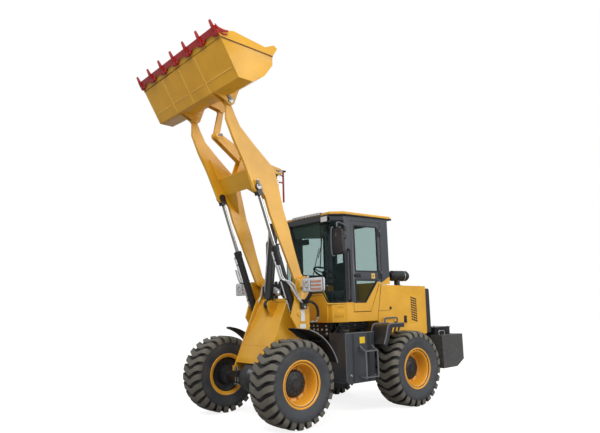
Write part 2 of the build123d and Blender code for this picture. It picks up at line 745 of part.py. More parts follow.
# ---------------------------------------------------------------- rear frame
HOOD_HALF = CAB_HALF
HOOD_LOW = 985
RAIL_LOW = PAD_TOP + FIT
RAIL_HIGH = 900
RAIL_FRONT = PIVOT_X - 250
RAIL_REAR = REAR_AXLE_X - 917
FORK_GAP = 7
with BuildPart() as chassis:
    for name, side in SIDES:
        block(
            (RAIL_REAR, RAIL_FRONT),
            between(RAIL_OUTER - RAIL_WALL, RAIL_OUTER, side),
            (RAIL_LOW, RAIL_HIGH),
        )
        # the outriggers under the hood
        for x in (REAR_AXLE_X - 660, REAR_AXLE_X + 60):
            block((x - 20, x + 20), between(RAIL_OUTER - 1, HOOD_HALF - 3, side), (865, HOOD_LOW - FIT))
        # the cab's four mounts and the tanks' brackets
        for x in (PIVOT_X - 200, REAR_AXLE_X + 420):
            foot = between(RAIL_OUTER - 60, RAIL_OUTER + 40, side)
            block((x - 50, x + 50), foot, (RAIL_HIGH - 1, CAB_FLOOR - FIT))
        for x in (PIVOT_X - 160, REAR_AXLE_X + 720):
            block((x - 30, x + 30), between(RAIL_OUTER - 1, TANK_INNER - FIT, side), (700, 800))
    for x in (RAIL_FRONT - 30, REAR_AXLE_X + 300, REAR_AXLE_X - 300, RAIL_REAR):
        block((x, x + 30), (-RAIL_OUTER + 1, RAIL_OUTER - 1), (RAIL_LOW, RAIL_HIGH))
    fork_low = TONGUE_LOW - FORK_GAP - STEER_PLATE
    fork_high = TONGUE_HIGH + STEER_PLATE + FORK_GAP
    for low in (fork_low, fork_high):
        with BuildSketch(Plane.XY.offset(low)) as fork:
            with Locations((PIVOT_X, 0)):
                Circle(TONGUE_RADIUS)
            with Locations((RAIL_FRONT - 15, 0)):
                Rectangle(30, 2 * RAIL_OUTER)
            make_hull()
        extrude(amount=STEER_PLATE)
    block(
        (RAIL_FRONT - 30, RAIL_FRONT),
        (-RAIL_OUTER, RAIL_OUTER),
        (fork_low, fork_high + STEER_PLATE),
    )
    with BuildSketch(Plane.XY.offset(fork_low - 12)) as pin:
        with Locations((PIVOT_X, 0)):
            Circle(PIVOT_PIN_RADIUS)
    extrude(amount=fork_high + STEER_PLATE + 24 - fork_low)
save(chassis, "chassis")

WEIGHT_FRONT = RAIL_REAR - FIT
WEIGHT_REAR = REAR_AXLE_X - 1456
WEIGHT_LOW = 440
WEIGHT_HIGH = 955
with BuildPart() as counterweight:
    plate(
        [
            (WEIGHT_FRONT, WEIGHT_LOW),
            (WEIGHT_FRONT, WEIGHT_HIGH),
            (WEIGHT_REAR, WEIGHT_HIGH),
            (WEIGHT_REAR, WEIGHT_LOW + 112),
            (WEIGHT_REAR + 186, WEIGHT_LOW + 6),
        ],
        -WEIGHT_HALF,
        WEIGHT_HALF,
    )
    # the towing recess and its pin's bore
    recess = (WEIGHT_LOW + 180, WEIGHT_LOW + 290)
    block((WEIGHT_REAR - 1, WEIGHT_REAR + 150), (-110, 110), recess, mode=Mode.SUBTRACT)
    with BuildSketch(Plane.XY.offset(WEIGHT_HIGH + 1)) as bore:
        with Locations((WEIGHT_REAR + 70, 0)):
            Circle(21)
    extrude(amount=-400, mode=Mode.SUBTRACT)
save(counterweight, "counterweight")

with BuildPart() as tow_pin:
    with BuildSketch(Plane.XY.offset(WEIGHT_LOW + 120)) as pin:
        with Locations((WEIGHT_REAR + 70, 0)):
            Circle(21 - FIT)
    extrude(amount=WEIGHT_HIGH + 30 - WEIGHT_LOW - 120)
    block((WEIGHT_REAR + 62, WEIGHT_REAR + 78), (-60, 60), (WEIGHT_HIGH + 22, WEIGHT_HIGH + 38))
save(tow_pin, "tow_pin")

with BuildPart() as battery_box:
    block(
        (WEIGHT_REAR + 88, WEIGHT_FRONT - 64),
        (300, 620),
        (WEIGHT_HIGH + FIT, WEIGHT_HIGH + 105),
    )
    block(
        (WEIGHT_REAR + 80, WEIGHT_FRONT - 56),
        (292, 628),
        (WEIGHT_HIGH + 105, WEIGHT_HIGH + 120),
    )
save(battery_box, "battery_box")

# ---------------------------------------------------------------- engine and hood
SEAM_TOP = (REAR_AXLE_X + 241, 1758)
SEAM_FOOT = (REAR_AXLE_X + 340, 1227)
hood_outer = [
    SEAM_TOP,
    (REAR_AXLE_X - 795, 1737),
    (REAR_AXLE_X - 773, HOOD_LOW),
    (REAR_AXLE_X + 110, HOOD_LOW),
    SEAM_FOOT,
]
hood_inner = [
    (SEAM_TOP[0] - HOOD_WALL, SEAM_TOP[1] - HOOD_WALL),
    (REAR_AXLE_X - 795 + HOOD_WALL, 1737 - HOOD_WALL),
    (REAR_AXLE_X - 773 + HOOD_WALL, HOOD_LOW - 1),
    (REAR_AXLE_X + 109, HOOD_LOW - 1),
    (SEAM_FOOT[0] - HOOD_WALL, SEAM_FOOT[1] + 4),
]
with BuildPart() as engine_hood:
    plate(hood_outer, -HOOD_HALF, HOOD_HALF)
    plate(hood_inner, -HOOD_HALF + HOOD_WALL, HOOD_HALF - HOOD_WALL, mode=Mode.SUBTRACT)
    # the side vents
    for name, side in SIDES:
        for row in range(6):
            low = 1190 + row * 66
            block(
                (REAR_AXLE_X - 572, REAR_AXLE_X - 404),
                between(HOOD_HALF - 6, HOOD_HALF + 1, side),
                (low, low + 44),
                mode=Mode.SUBTRACT,
            )
save(engine_hood, "engine_hood")

with BuildPart() as engine_block:
    block((REAR_AXLE_X - 700, REAR_AXLE_X + 60), (-240, 240), (RAIL_HIGH + 12, 1560))
    for name, side in SIDES:
        for x in (REAR_AXLE_X - 560, REAR_AXLE_X - 60):
            block((x - 40, x + 40), between(239, RAIL_OUTER - 4, side), (RAIL_HIGH + FIT, RAIL_HIGH + 60))
save(engine_block, "engine_block")

GRILLE_REAR = REAR_AXLE_X - 905
with BuildPart() as rear_grille:
    frame_low, frame_high = 996, 1700
    outline = [
        (REAR_AXLE_X - 773 - 2 * FIT, frame_low),
        (REAR_AXLE_X - 794 - FIT, frame_high),
        (GRILLE_REAR + 20, frame_high),
        (GRILLE_REAR, frame_high - 24),
        (GRILLE_REAR, frame_low),
    ]
    plate(outline, -HOOD_HALF + 12, HOOD_HALF - 12)
    block(
        (GRILLE_REAR - 1, GRILLE_REAR + 60),
        (-HOOD_HALF + 72, HOOD_HALF - 72),
        (frame_low + 60, frame_high - 70),
        mode=Mode.SUBTRACT,
    )
    slats = 11
    for row in range(slats):
        low = frame_low + 70 + row * (frame_high - frame_low - 150) / slats
        block((GRILLE_REAR + 8, GRILLE_REAR + 62), (-HOOD_HALF + 70, HOOD_HALF - 70), (low, low + 22))
save(rear_grille, "rear_grille")

with BuildPart() as pre_cleaner:
    cleaner_x = REAR_AXLE_X - 270
    cleaner_z = 1902
    with BuildSketch(Plane.YZ.offset(cleaner_x - 200)) as drum:
        with Locations((CLEANER_Y, cleaner_z)):
            Circle(82)
    extrude(amount=400)
    seat_x = cleaner_x + 88
    hood_top = 1758 - (SEAM_TOP[0] - seat_x) * 21 / (SEAM_TOP[0] - REAR_AXLE_X + 795)
    with BuildSketch(Plane.XY.offset(hood_top + FIT)) as post:
        with Locations((cleaner_x + 40, CLEANER_Y)):
            Circle(48)
    extrude(amount=90)
save(pre_cleaner, "pre_cleaner")
# ---------------------------------------------------------------- cab
CAB_FRONT = PIVOT_X + 113
CORNER_X = PIVOT_X + 67
PILLAR_B = (PIVOT_X - 249, PIVOT_X - 102)
PILLAR_C = (REAR_AXLE_X + 40, REAR_AXLE_X + 214)
SCREEN_HALF = 468
CORNER_HALF = 496
CAB_TOP = 2700
RAIL_TOP = 2770
SILL = 1375
WAIST = 1509
CREST = 1660
CREST_HALF = 360
SHELF = 1768
SHELF_PLATE = 26
FIN = (REAR_AXLE_X + 65, 1876)
BACK_TOP = (SEAM_TOP[0] + 6, SHELF)
BACK_FOOT = (SEAM_FOOT[0] + 6, CAB_FLOOR)
DOOR_GAP = 6
GLASS = 6
DOOR_FRONT = PILLAR_B[0] - DOOR_GAP
DOOR_REAR = PILLAR_C[1] + DOOR_GAP
DOOR_FOOT = REAR_AXLE_X + 480
HINGE_Y = CAB_HALF + 11
HINGE_HEIGHTS = (1860, 2500)

floor_half = [
    (BACK_FOOT[0], CAB_HALF),
    (PILLAR_B[1], CAB_HALF),
    (CORNER_X, CORNER_HALF),
    (CORNER_X + 20, CORNER_HALF - 60),
]
with BuildPart() as cab_base:
    slab(mirrored(floor_half), CAB_FLOOR, CAB_FLOOR + 30)
    # the panels under the doors and the lower front
    for name, side in SIDES:
        block(
            (BACK_FOOT[0], PILLAR_B[1]),
            between(CAB_HALF - CAB_WALL, CAB_HALF, side),
            (CAB_FLOOR, SILL - DOOR_GAP),
        )
        slant = [
            (PILLAR_B[1], CAB_HALF),
            (CORNER_X, CORNER_HALF),
            (CORNER_X - 18, CORNER_HALF - 24),
            (PILLAR_B[1] - 10, CAB_HALF - CAB_WALL),
        ]
        slab([(x, side * y) for x, y in slant], CAB_FLOOR, WAIST)
        block(
            (PILLAR_B[0] + 2, PILLAR_B[1]),
            between(CAB_HALF - CAB_WALL, CAB_HALF, side),
            (CAB_FLOOR, WAIST),
        )
    front = [
        (CORNER_X, CORNER_HALF),
        (CORNER_X + 20, CORNER_HALF - 60),
        (CORNER_X + 2, CORNER_HALF - 80),
        (CORNER_X - 18, CORNER_HALF - 24),
    ]
    for name, side in SIDES:
        slab([(x, side * y) for x, y in front], CAB_FLOOR, WAIST)
    # the front panel rises to a flat top under the windscreen
    crest = [(CORNER_HALF - 61, WAIST), (CREST_HALF, CREST), (CREST_HALF - 20, CREST + 20)]
    with BuildSketch(Plane.YZ.offset(CORNER_X)) as front_panel:
        Polygon(
            (-CORNER_HALF + 61, CAB_FLOOR),
            (CORNER_HALF - 61, CAB_FLOOR),
            *crest,
            *[(-y, z) for y, z in reversed(crest)],
            align=None,
        )
    extrude(amount=CAB_FRONT - GLASS - FIT - CORNER_X)
    # the sloping back and the shelf behind it
    back = [
        BACK_FOOT,
        BACK_TOP,
        (PILLAR_C[0], SHELF),
        (PILLAR_C[0], SHELF + SHELF_PLATE),
        (BACK_TOP[0] + 26, SHELF + SHELF_PLATE),
        (BACK_FOOT[0] + 26, CAB_FLOOR),
    ]
    plate(back, -CAB_HALF, CAB_HALF)
    # the fixed panels between the doors' sloping edges and the back
    for name, side in SIDES:
        cheek = [
            (BACK_FOOT[0] + 5, CAB_FLOOR + 10),
            (DOOR_FOOT - DOOR_GAP, SILL - DOOR_GAP - 1),
            (DOOR_REAR + 42, SHELF + 24),
            (BACK_TOP[0] + 8, SHELF + 10),
        ]
        plate(cheek, *between(CAB_HALF - CAB_WALL, CAB_HALF, side))
        fin = [
            (PILLAR_C[1] - 4, SHELF + SHELF_PLATE - 1),
            FIN,
            (PILLAR_C[0], FIN[1]),
            (PILLAR_C[0], SHELF + SHELF_PLATE - 1),
        ]
        plate(fin, *between(CAB_HALF - CAB_WALL, CAB_HALF, side))
save(cab_base, "cab_base")

rail_half = [
    (PILLAR_C[0], CAB_HALF),
    (PILLAR_B[1], CAB_HALF),
    (CORNER_X, CORNER_HALF),
    (CAB_FRONT, SCREEN_HALF),
]
rail_inner = [
    (PILLAR_C[0] + 60, CAB_HALF - 60),
    (PILLAR_B[1] - 20, CAB_HALF - 60),
    (CORNER_X - 30, CORNER_HALF - 50),
    (CAB_FRONT - 50, SCREEN_HALF - 40),
]
with BuildPart() as cab_frame:
    for name, side in SIDES:
        block(
            PILLAR_B,
            between(CAB_HALF - CAB_WALL, CAB_HALF, side),
            (WAIST + FIT, CAB_TOP + 1),
        )
        post_c = [
            (PILLAR_C[1], SHELF + SHELF_PLATE + FIT),
            (PILLAR_C[1], CAB_TOP + 1),
            (PILLAR_C[0], CAB_TOP + 1),
            (PILLAR_C[0], FIN[1] + 0.5),
            (FIN[0], FIN[1] + 0.5),
        ]
        plate(post_c, *between(CAB_HALF - CAB_WALL, CAB_HALF, side))
        block(
            (PILLAR_C[0], PILLAR_C[0] + 50),
            between(CAB_HALF - 70, CAB_HALF - CAB_WALL - FIT, side),
            (SHELF + SHELF_PLATE + FIT, CAB_TOP + 1),
        )
    # the lower halves of the doors' hinges
    for name, side in SIDES:
        for z in HINGE_HEIGHTS:
            with BuildSketch(Plane.XY.offset(z)) as knuckle:
                with Locations((PILLAR_C[1], side * HINGE_Y)):
                    Circle(9)
                with Locations((PILLAR_C[1] - 9, side * (HINGE_Y - 6))):
                    Rectangle(18, 12)
            extrude(amount=50)
    slab(mirrored(rail_half), CAB_TOP, RAIL_TOP)
    slab(mirrored(rail_inner), CAB_TOP, RAIL_TOP, mode=Mode.SUBTRACT)
save(cab_frame, "cab_frame")

roof_half = [
    (REAR_AXLE_X - 60, CAB_HALF - 5),
    (PILLAR_B[1], CAB_HALF + 25),
    (CORNER_X, CORNER_HALF + 10),
    (CAB_FRONT - 45, CORNER_HALF - 6),
]
with BuildPart() as cab_roof:
    slab(mirrored(roof_half), RAIL_TOP + FIT, RAIL_TOP + 55)
    chamfer(cab_roof.faces().sort_by(Axis.Z)[-1].edges(), 18)
save(cab_roof, "cab_roof")

with BuildPart() as cab_glass:
    lower = [(SCREEN_HALF - 6, WAIST + 6), (CREST_HALF, CREST - 10)]
    with BuildSketch(Plane.YZ.offset(CAB_FRONT - GLASS)) as screen:
        Polygon(
            (-SCREEN_HALF + 6, CAB_TOP - FIT),
            (SCREEN_HALF - 6, CAB_TOP - FIT),
            *lower,
            *[(-y, z) for y, z in reversed(lower)],
            align=None,
        )
    extrude(amount=GLASS)
    for name, side in SIDES:
        pane = [
            (CORNER_X, CORNER_HALF + 6),
            (PILLAR_B[1] + 1, CAB_HALF),
            (PILLAR_B[1] + 1, CAB_HALF - GLASS),
            (CORNER_X, CORNER_HALF + FIT),
        ]
        # the narrow pane that takes the windscreen round the corner
        turn = [
            (CAB_FRONT, SCREEN_HALF - 5),
            (CORNER_X + 1, CORNER_HALF + 5),
            (CORNER_X + 1, CORNER_HALF - 2),
            (CAB_FRONT - 5, SCREEN_HALF - 5),
        ]
        for outline in (pane, turn):
            slab([(x, side * y) for x, y in outline], WAIST + FIT, CAB_TOP - FIT)
    block(
        (PILLAR_C[0] + 10, PILLAR_C[0] + 10 + GLASS),
        (-CAB_HALF + 70 + FIT, CAB_HALF - 70 - FIT),
        (SHELF + SHELF_PLATE + FIT, CAB_TOP - FIT),
    )
save(cab_glass, "cab_glass")

# ---------------------------------------------------------------- doors
door_outline = [
    (DOOR_FRONT, SILL),
    (DOOR_FRONT, CAB_TOP - DOOR_GAP),
    (DOOR_REAR, CAB_TOP - DOOR_GAP),
    (DOOR_REAR, SHELF + 40),
    (DOOR_REAR + 50, SHELF + 36),
    (DOOR_FOOT, SILL),
]
upper_light = [
    (DOOR_FRONT - 60, 1956),
    (DOOR_FRONT - 60, CAB_TOP - 70),
    (DOOR_REAR + 62, CAB_TOP - 70),
    (DOOR_REAR + 62, 1956),
]
lower_light = [
    (DOOR_FRONT - 60, 1509),
    (DOOR_FRONT - 60, 1826),
    (DOOR_REAR + 100, 1826),
    (DOOR_REAR + 140, 1766),
    (PIVOT_X - 503, 1509),
]
for name, side in SIDES:
    with BuildPart() as door:
        inner, outer = CAB_HALF - 33, CAB_HALF - 3
        plate(door_outline, *between(inner, outer, side))
        for light in (upper_light, lower_light):
            plate(light, *between(inner - 1, outer + 1, side), mode=Mode.SUBTRACT)
        # the handle
        handle_x = DOOR_FRONT - 40
        block((handle_x - 90, handle_x), between(outer - 1, outer + 14, side), (1880, 1906))
        for z in HINGE_HEIGHTS:
            with BuildSketch(Plane.XY.offset(z + 50.5)) as knuckle:
                with Locations((PILLAR_C[1], side * HINGE_Y)):
                    Circle(9)
                with Locations((PILLAR_C[1] + 14, side * (HINGE_Y - 4))):
                    Rectangle(28, 10)
                with Locations((PILLAR_C[1] + 22, side * (HINGE_Y - 12))):
                    Rectangle(12, 16)
            extrude(amount=50)
    save(door, f"door_{name}")

    with BuildPart() as door_glass:
        for light in (upper_light, lower_light):
            pane_face = between(CAB_HALF - 17, CAB_HALF - 17 + GLASS, side)[1]
            with BuildSketch(Plane.XZ.offset(-pane_face)) as pane:
                Polygon(*light, align=None)
                offset(amount=-FIT, kind=Kind.INTERSECTION, mode=Mode.REPLACE)
            extrude(amount=GLASS)
    save(door_glass, f"door_glass_{name}")

# ---------------------------------------------------------------- inside the cab
FLOOR_TOP = CAB_FLOOR + 30
SEAT_X = PIVOT_X - 500
with BuildPart() as seat:
    block((SEAT_X - 150, SEAT_X + 150), (-170, 170), (FLOOR_TOP + FIT, FLOOR_TOP + 300))
    block((SEAT_X - 240, SEAT_X + 250), (-240, 240), (FLOOR_TOP + 300, FLOOR_TOP + 430))
    back = [
        (SEAT_X - 130, FLOOR_TOP + 400),
        (SEAT_X - 230, FLOOR_TOP + 400),
        (SEAT_X - 262, 2145),
        (SEAT_X - 172, 2165),
    ]
    plate(back, -210, 210)
save(seat, "seat")

COLUMN_X = PIVOT_X - 60
WHEEL = (PIVOT_X - 260, 1986)
with BuildPart() as steering_column:
    base = (COLUMN_X, FLOOR_TOP + FIT)
    block((COLUMN_X - 110, COLUMN_X + 70), (-150, 150), (FLOOR_TOP + FIT, FLOOR_TOP + 30))
    console = [
        (COLUMN_X + 60, FLOOR_TOP + 20),
        (COLUMN_X - 60, FLOOR_TOP + 20),
        (COLUMN_X - 130, 1830),
        (COLUMN_X - 20, 1860),
    ]
    plate(console, -110, 110)
    rod((COLUMN_X - 90, 1800), WHEEL, 0, 28)
    lean = Plane(
        origin=(WHEEL[0], 0, WHEEL[1]),
        x_dir=(0, 1, 0),
        z_dir=(WHEEL[0] - COLUMN_X + 90, 0, WHEEL[1] - 1800),
    )
    with BuildSketch(lean) as disc:
        Circle(190)
        Circle(160, mode=Mode.SUBTRACT)
        Rectangle(350, 30)
        Circle(48)
    extrude(amount=26)
save(steering_column, "steering_column")

# ---------------------------------------------------------------- tanks, steps and fenders
TANK_FRONT = PIVOT_X + 116
TANK_REAR = REAR_AXLE_X + 630
TANK_LOW = 413
TANK_HIGH = 1090
tank_outline = [
    (TANK_FRONT, TANK_LOW + 40),
    (TANK_FRONT, TANK_HIGH),
    (TANK_REAR, TANK_HIGH),
    (TANK_REAR, TANK_LOW),
    (TANK_FRONT - 40, TANK_LOW),
]
for name, side in (("fuel_tank", 1), ("hydraulic_tank", -1)):
    with BuildPart() as tank:
        plate(tank_outline, *between(TANK_INNER, TANK_OUTER, side))
        with BuildSketch(Plane.XY.offset(TANK_HIGH - 1)) as neck:
            with Locations((TANK_FRONT - 77, side * (TANK_OUTER - 80))):
                Circle(60)
        extrude(amount=40)
    save(tank, name)

STEP_FRONT = PIVOT_X - 102
STEP_REAR = PIVOT_X - 362
STEP_OUTER = 915
with BuildPart() as side_steps:
    for name, side in SIDES:
        for z in (486, 835):
            block((STEP_REAR, STEP_FRONT), between(TANK_OUTER + FIT, STEP_OUTER, side), (z - 14, z + 14))
        for x in (STEP_REAR, STEP_FRONT - 16):
            block((x, x + 16), between(STEP_OUTER - 40, STEP_OUTER, side), (472, 849))
save(side_steps, "side_steps")

guard = [
    (REAR_AXLE_X + 623, 909),
    (REAR_AXLE_X + 518, 1190),
    (REAR_AXLE_X + 200, 1190),
    (REAR_AXLE_X + 200, 1182),
    (REAR_AXLE_X + 512, 1182),
    (REAR_AXLE_X + 615, 906),
]
with BuildPart() as rear_fenders:
    for name, side in SIDES:
        plate(guard, *between(650, 988, side))
        block(
            (REAR_AXLE_X + 205, REAR_AXLE_X + 290),
            between(HOOD_HALF + FIT, 651, side),
            (1150, 1190),
        )
save(rear_fenders, "rear_fenders")

with BuildPart() as grab_bars:
    for name, side in SIDES:
        y = side * 650
        low, high = REAR_AXLE_X - 46, REAR_AXLE_X + 252
        rod((low, 1260), (high, 1260), y, 14)
        for x in (low + 14, high - 60):
            cross_pin((x, 1260), 13, *between(HOOD_HALF + FIT, 650, side))
save(grab_bars, "grab_bars")

MIRROR_X = CAB_FRONT + 45
with BuildPart() as mirrors:
    for name, side in SIDES:
        block((MIRROR_X, MIRROR_X + 44), between(700, 900, side), (2165, 2525))
        arm = [
            (PILLAR_B[1] - 30, CAB_HALF + FIT),
            (MIRROR_X + 14, 716),
            (MIRROR_X + 34, 716),
            (PILLAR_B[1] - 4, CAB_HALF + FIT),
        ]
        slab([(x, side * y) for x, y in arm], 2440, 2460)
save(mirrors, "mirrors")

# each light stands at the front corner of the roof rail and looks past the lift arm
LIGHT_INNER = SCREEN_HALF - 40
LIGHT_OUTER = SCREEN_HALF + 110
with BuildPart() as work_lights:
    for name, side in SIDES:
        block((CAB_FRONT + FIT, CAB_FRONT + 60), between(LIGHT_INNER, LIGHT_OUTER, side), (2655, 2745))
save(work_lights, "work_lights")
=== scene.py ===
# %% [markdown]
# # A compact wheel loader, dressed in Blender
#
# The loader comes from a CAD pack as plain solids: frames, boom, bucket, cab, wheels. This lesson
# gives each of them the surface it has on the real machine, and adds what CAD left out: tread lugs,
# bolts, hoses, pipes, seals, the seat's cushions and the levers. Everything is in metres, +X is
# forward, +Y is the machine's left, +Z is up, and a piece moves with the CAD body that it rides on.

# %% Load the frame
import json
import math

import bmesh
import bpy
import numpy as np
from mathutils import Matrix, Vector
from numpy.linalg import norm

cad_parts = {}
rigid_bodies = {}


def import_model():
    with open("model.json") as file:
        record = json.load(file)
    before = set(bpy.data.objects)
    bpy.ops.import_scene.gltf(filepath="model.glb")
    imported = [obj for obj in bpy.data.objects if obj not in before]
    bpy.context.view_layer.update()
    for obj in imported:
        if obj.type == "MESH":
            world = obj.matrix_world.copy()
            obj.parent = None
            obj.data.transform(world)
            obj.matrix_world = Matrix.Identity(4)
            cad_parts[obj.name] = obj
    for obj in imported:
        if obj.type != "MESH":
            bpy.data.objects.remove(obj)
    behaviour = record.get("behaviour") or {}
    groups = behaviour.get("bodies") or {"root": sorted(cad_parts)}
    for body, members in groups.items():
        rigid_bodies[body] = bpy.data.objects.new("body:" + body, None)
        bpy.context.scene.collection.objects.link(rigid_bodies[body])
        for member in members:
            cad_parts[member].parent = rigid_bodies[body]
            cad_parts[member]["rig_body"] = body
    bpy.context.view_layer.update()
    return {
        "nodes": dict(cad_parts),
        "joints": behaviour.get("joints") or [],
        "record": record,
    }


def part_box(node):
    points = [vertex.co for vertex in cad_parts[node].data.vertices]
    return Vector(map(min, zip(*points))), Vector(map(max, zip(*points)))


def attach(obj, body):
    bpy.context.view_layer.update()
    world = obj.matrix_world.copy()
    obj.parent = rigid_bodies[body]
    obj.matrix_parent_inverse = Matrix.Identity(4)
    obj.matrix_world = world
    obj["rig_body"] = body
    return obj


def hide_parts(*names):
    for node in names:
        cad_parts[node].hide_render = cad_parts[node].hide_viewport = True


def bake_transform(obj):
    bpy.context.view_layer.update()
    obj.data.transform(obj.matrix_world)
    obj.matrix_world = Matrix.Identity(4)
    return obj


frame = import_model()
nodes = frame["nodes"]
joints = {joint["name"]: joint for joint in frame["joints"]}
print("CAD nodes:", len(nodes), "joints:", len(joints))

# %% [markdown]
# ## Places that the pieces share
#
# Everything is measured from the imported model, so that a change in the CAD carries through. A joint's
# place gives each pin, and a node's box gives each panel. Distances from those places are plain
# numbers in metres.

# %% Named places
SIDES = (("left", 1), ("right", -1))
ENDS = ("front", "rear")
FRONT, REAR = "front_frame", "rear_frame"


def joint_at(name):
    """The place of a joint's axis as an array."""
    return np.array(joints[name]["pos_m"], float)


def low(node):
    """The lowest corner of a CAD node's box."""
    return np.array(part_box(node)[0], float)


def high(node):
    """The highest corner of a CAD node's box."""
    return np.array(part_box(node)[1], float)


foot = joint_at("lift")
bucket_pin = joint_at("bucket_tilt")
wheel_radius = high("tyre_front_left")[2] / 2
axle_x = {end: (low(f"tyre_{end}_left")[0] + high(f"tyre_{end}_left")[0]) / 2 for end in ENDS}
print("wheel radius", round(float(wheel_radius), 3), "axles", axle_x)

# %% [markdown]
# ## Camera, floor and light
#
# The camera stands low in front of the machine's left corner, so that the boom rises over the cab.
# A pale floor catches a soft shadow. Three large area lamps give the plain light of a studio.

# %% Camera
scene = bpy.context.scene
scene.view_settings.view_transform = "Standard"


def add_camera(position, yaw, tilt, roll, lens):
    """A camera at a place, from a heading round Z, a tilt above level and a roll, in degrees."""
    data = bpy.data.cameras.new("camera")
    data.lens = lens
    data.sensor_width = 36
    data.clip_end = 100
    camera = bpy.data.objects.new("camera", data)
    scene.collection.objects.link(camera)
    heading, rise = math.radians(yaw), math.radians(tilt)
    level = math.cos(rise)
    ahead = Vector((math.cos(heading) * level, math.sin(heading) * level, math.sin(rise)))
    right = ahead.cross(Vector((0, 0, 1))).normalized()
    up = right.cross(ahead)
    turn = math.radians(roll)
    rolled_right = right * math.cos(turn) + up * math.sin(turn)
    rolled_up = up * math.cos(turn) - right * math.sin(turn)
    camera.matrix_world = Matrix((rolled_right, rolled_up, -ahead)).transposed().to_4x4()
    camera.matrix_world.translation = position
    scene.camera = camera


add_camera((5.613, 6.516, 1.487), yaw=-129.243, tilt=8.921, roll=-1.573, lens=33.89)


# %% Studio light
def add_lamp(name, place, aim, size, power):
    """A square area lamp at a place, turned towards a point."""
    data = bpy.data.lights.new(name, "AREA")
    data.size = size
    data.energy = power
    lamp = bpy.data.objects.new(name, data)
    scene.collection.objects.link(lamp)
    lamp.location = place
    lamp.rotation_euler = (Vector(aim) - Vector(place)).to_track_quat("-Z", "Y").to_euler()


add_lamp("key", (6.5, 4.0, 8.5), (0, 0, 1.8), 4.5, 470)
add_lamp("fill", (-3.0, 8.0, 4.5), (-0.5, 0, 1.4), 6.0, 330)
add_lamp("back", (-7.0, -5.0, 6.5), (0, 0, 1.8), 4.5, 170)


# %% Floor
def add_stage():
    """A floor sixty metres square, a millimetre below the ground. A pale floor that
    takes the shadow, and a world that looks white to the camera.
    """
    corners = [(-30, -30, 0), (30, -30, 0), (30, 30, 0), (-30, 30, 0)]
    mesh = bpy.data.meshes.new("floor")
    mesh.from_pydata(corners, [], [(0, 1, 2, 3)])
    floor = bpy.data.objects.new("floor", mesh)
    floor.location.z = -0.001
    scene.collection.objects.link(floor)
    return floor


floor = add_stage()

# %% [markdown]
# ## Shader maths as Python
#
# A wrapped socket understands + - * and a few named functions, so that a mask reads as a formula.
# Every node comes from one method that sets the node's own settings first and then its sockets.


# %% Shader helpers
class Socket:
    """One output of a shader node, with arithmetic that adds Math nodes to its tree."""

    def __init__(self, tree, output):
        self.tree = tree
        self.output = output

    def math(self, operation, *values):
        """A Math node on this output and other values."""
        return self.tree.node("Math", {"operation": operation}, [self, *values])

    def __add__(self, other):
        return self.math("ADD", other)

    __radd__ = __add__

    def __mul__(self, other):
        return self.math("MULTIPLY", other)

    __rmul__ = __mul__

    def __sub__(self, other):
        return self.math("SUBTRACT", other)

    def __rsub__(self, other):
        return self.tree.node("Math", {"operation": "SUBTRACT"}, [other, self])

    def ramp(self, low_in, high_in, low_out, high_out):
        """A straight change from one value to another."""
        sockets = {
            "Value": self, "From Min": low_in, "From Max": high_in, "To Min": low_out, "To Max": high_out
        }
        return self.tree.node("MapRange", {}, sockets)


class Material:
    """A material, or a world, whose nodes are made with node() and finished with output()."""

    def __init__(self, name, owner=None):
        self.material = owner or bpy.data.materials.new(name)
        self.material.use_nodes = True
        self.nodes = self.material.node_tree.nodes
        self.links = self.material.node_tree.links
        self.nodes.clear()

    def node(self, kind, settings=None, inputs=None, output=0):
        """Adds a node, sets its settings, fills its sockets and returns one wrapped output."""
        made = self.nodes.new("ShaderNode" + kind)
        for name, value in (settings or {}).items():
            setattr(made, name, value)
        pairs = enumerate(inputs) if isinstance(inputs, list) else (inputs or {}).items()
        for key, value in pairs:
            if isinstance(value, Socket):
                self.links.new(value.output, made.inputs[key])
            elif value is not None:
                made.inputs[key].default_value = value
        return Socket(self, made.outputs[output]) if made.outputs else None

    def place(self):
        """Object coordinates: metres, in the machine's frame."""
        return self.node("TexCoord", output=3)

    def axes(self):
        """The x, y and z of Object coordinates."""
        split = self.node("SeparateXYZ", {}, [self.place()]).output.node
        return [Socket(self, output) for output in split.outputs]

    def noise(self, scale, detail=3.0, rough=0.55, vector=None):
        """A grey noise between 0 and 1."""
        sockets = {"Vector": vector or self.place(), "Scale": scale, "Detail": detail, "Roughness": rough}
        return self.node("TexNoise", {}, sockets)

    def mix(self, amount, first, second):
        """Two colours mixed by an amount from 0 to 1."""
        inputs = {0: amount, 6: first, 7: second}
        return self.node("Mix", {"data_type": "RGBA"}, inputs, output=2)

    def bump(self, height, strength, distance=0.001):
        """A normal that leans with a height."""
        sockets = {"Height": height, "Strength": strength, "Distance": distance}
        return self.node("Bump", {}, sockets)

    def principled(self, **values):
        """A Principled shader from its sockets' names, with spaces written as underscores."""
        names = {name.replace("_", " "): value for name, value in values.items()}
        return self.node("BsdfPrincipled", {}, names)

    def output(self, shader, kind="OutputMaterial"):
        """Ends the tree with a shader as the surface, and returns the material."""
        self.node(kind, {}, {"Surface": shader})
        return self.material

    def surface(self, **values):
        """A finished material with one Principled shader."""
        return self.output(self.principled(**values))


def rgb(red, green, blue):
    """A display colour from 0 to 255 as the linear colour that a shader takes."""

    def linear(value):
        share = value / 255
        return share / 12.92 if share <= 0.04045 else ((share + 0.055) / 1.055) ** 2.4

    return (linear(red), linear(green), linear(blue), 1.0)


# %% [markdown]
# ## Finishes
#
# Sprayed enamel is never one flat colour: it has a fine orange peel, slow changes in tone, and dust
# that gathers low on the machine. The black paint is the same recipe in a different colour, and
# rubber is rougher with a fine grain.


# %% Paint
SHADE_TONE, LIGHT_TONE = (0.87, 0.85, 0.81), (1.10, 1.10, 1.12)


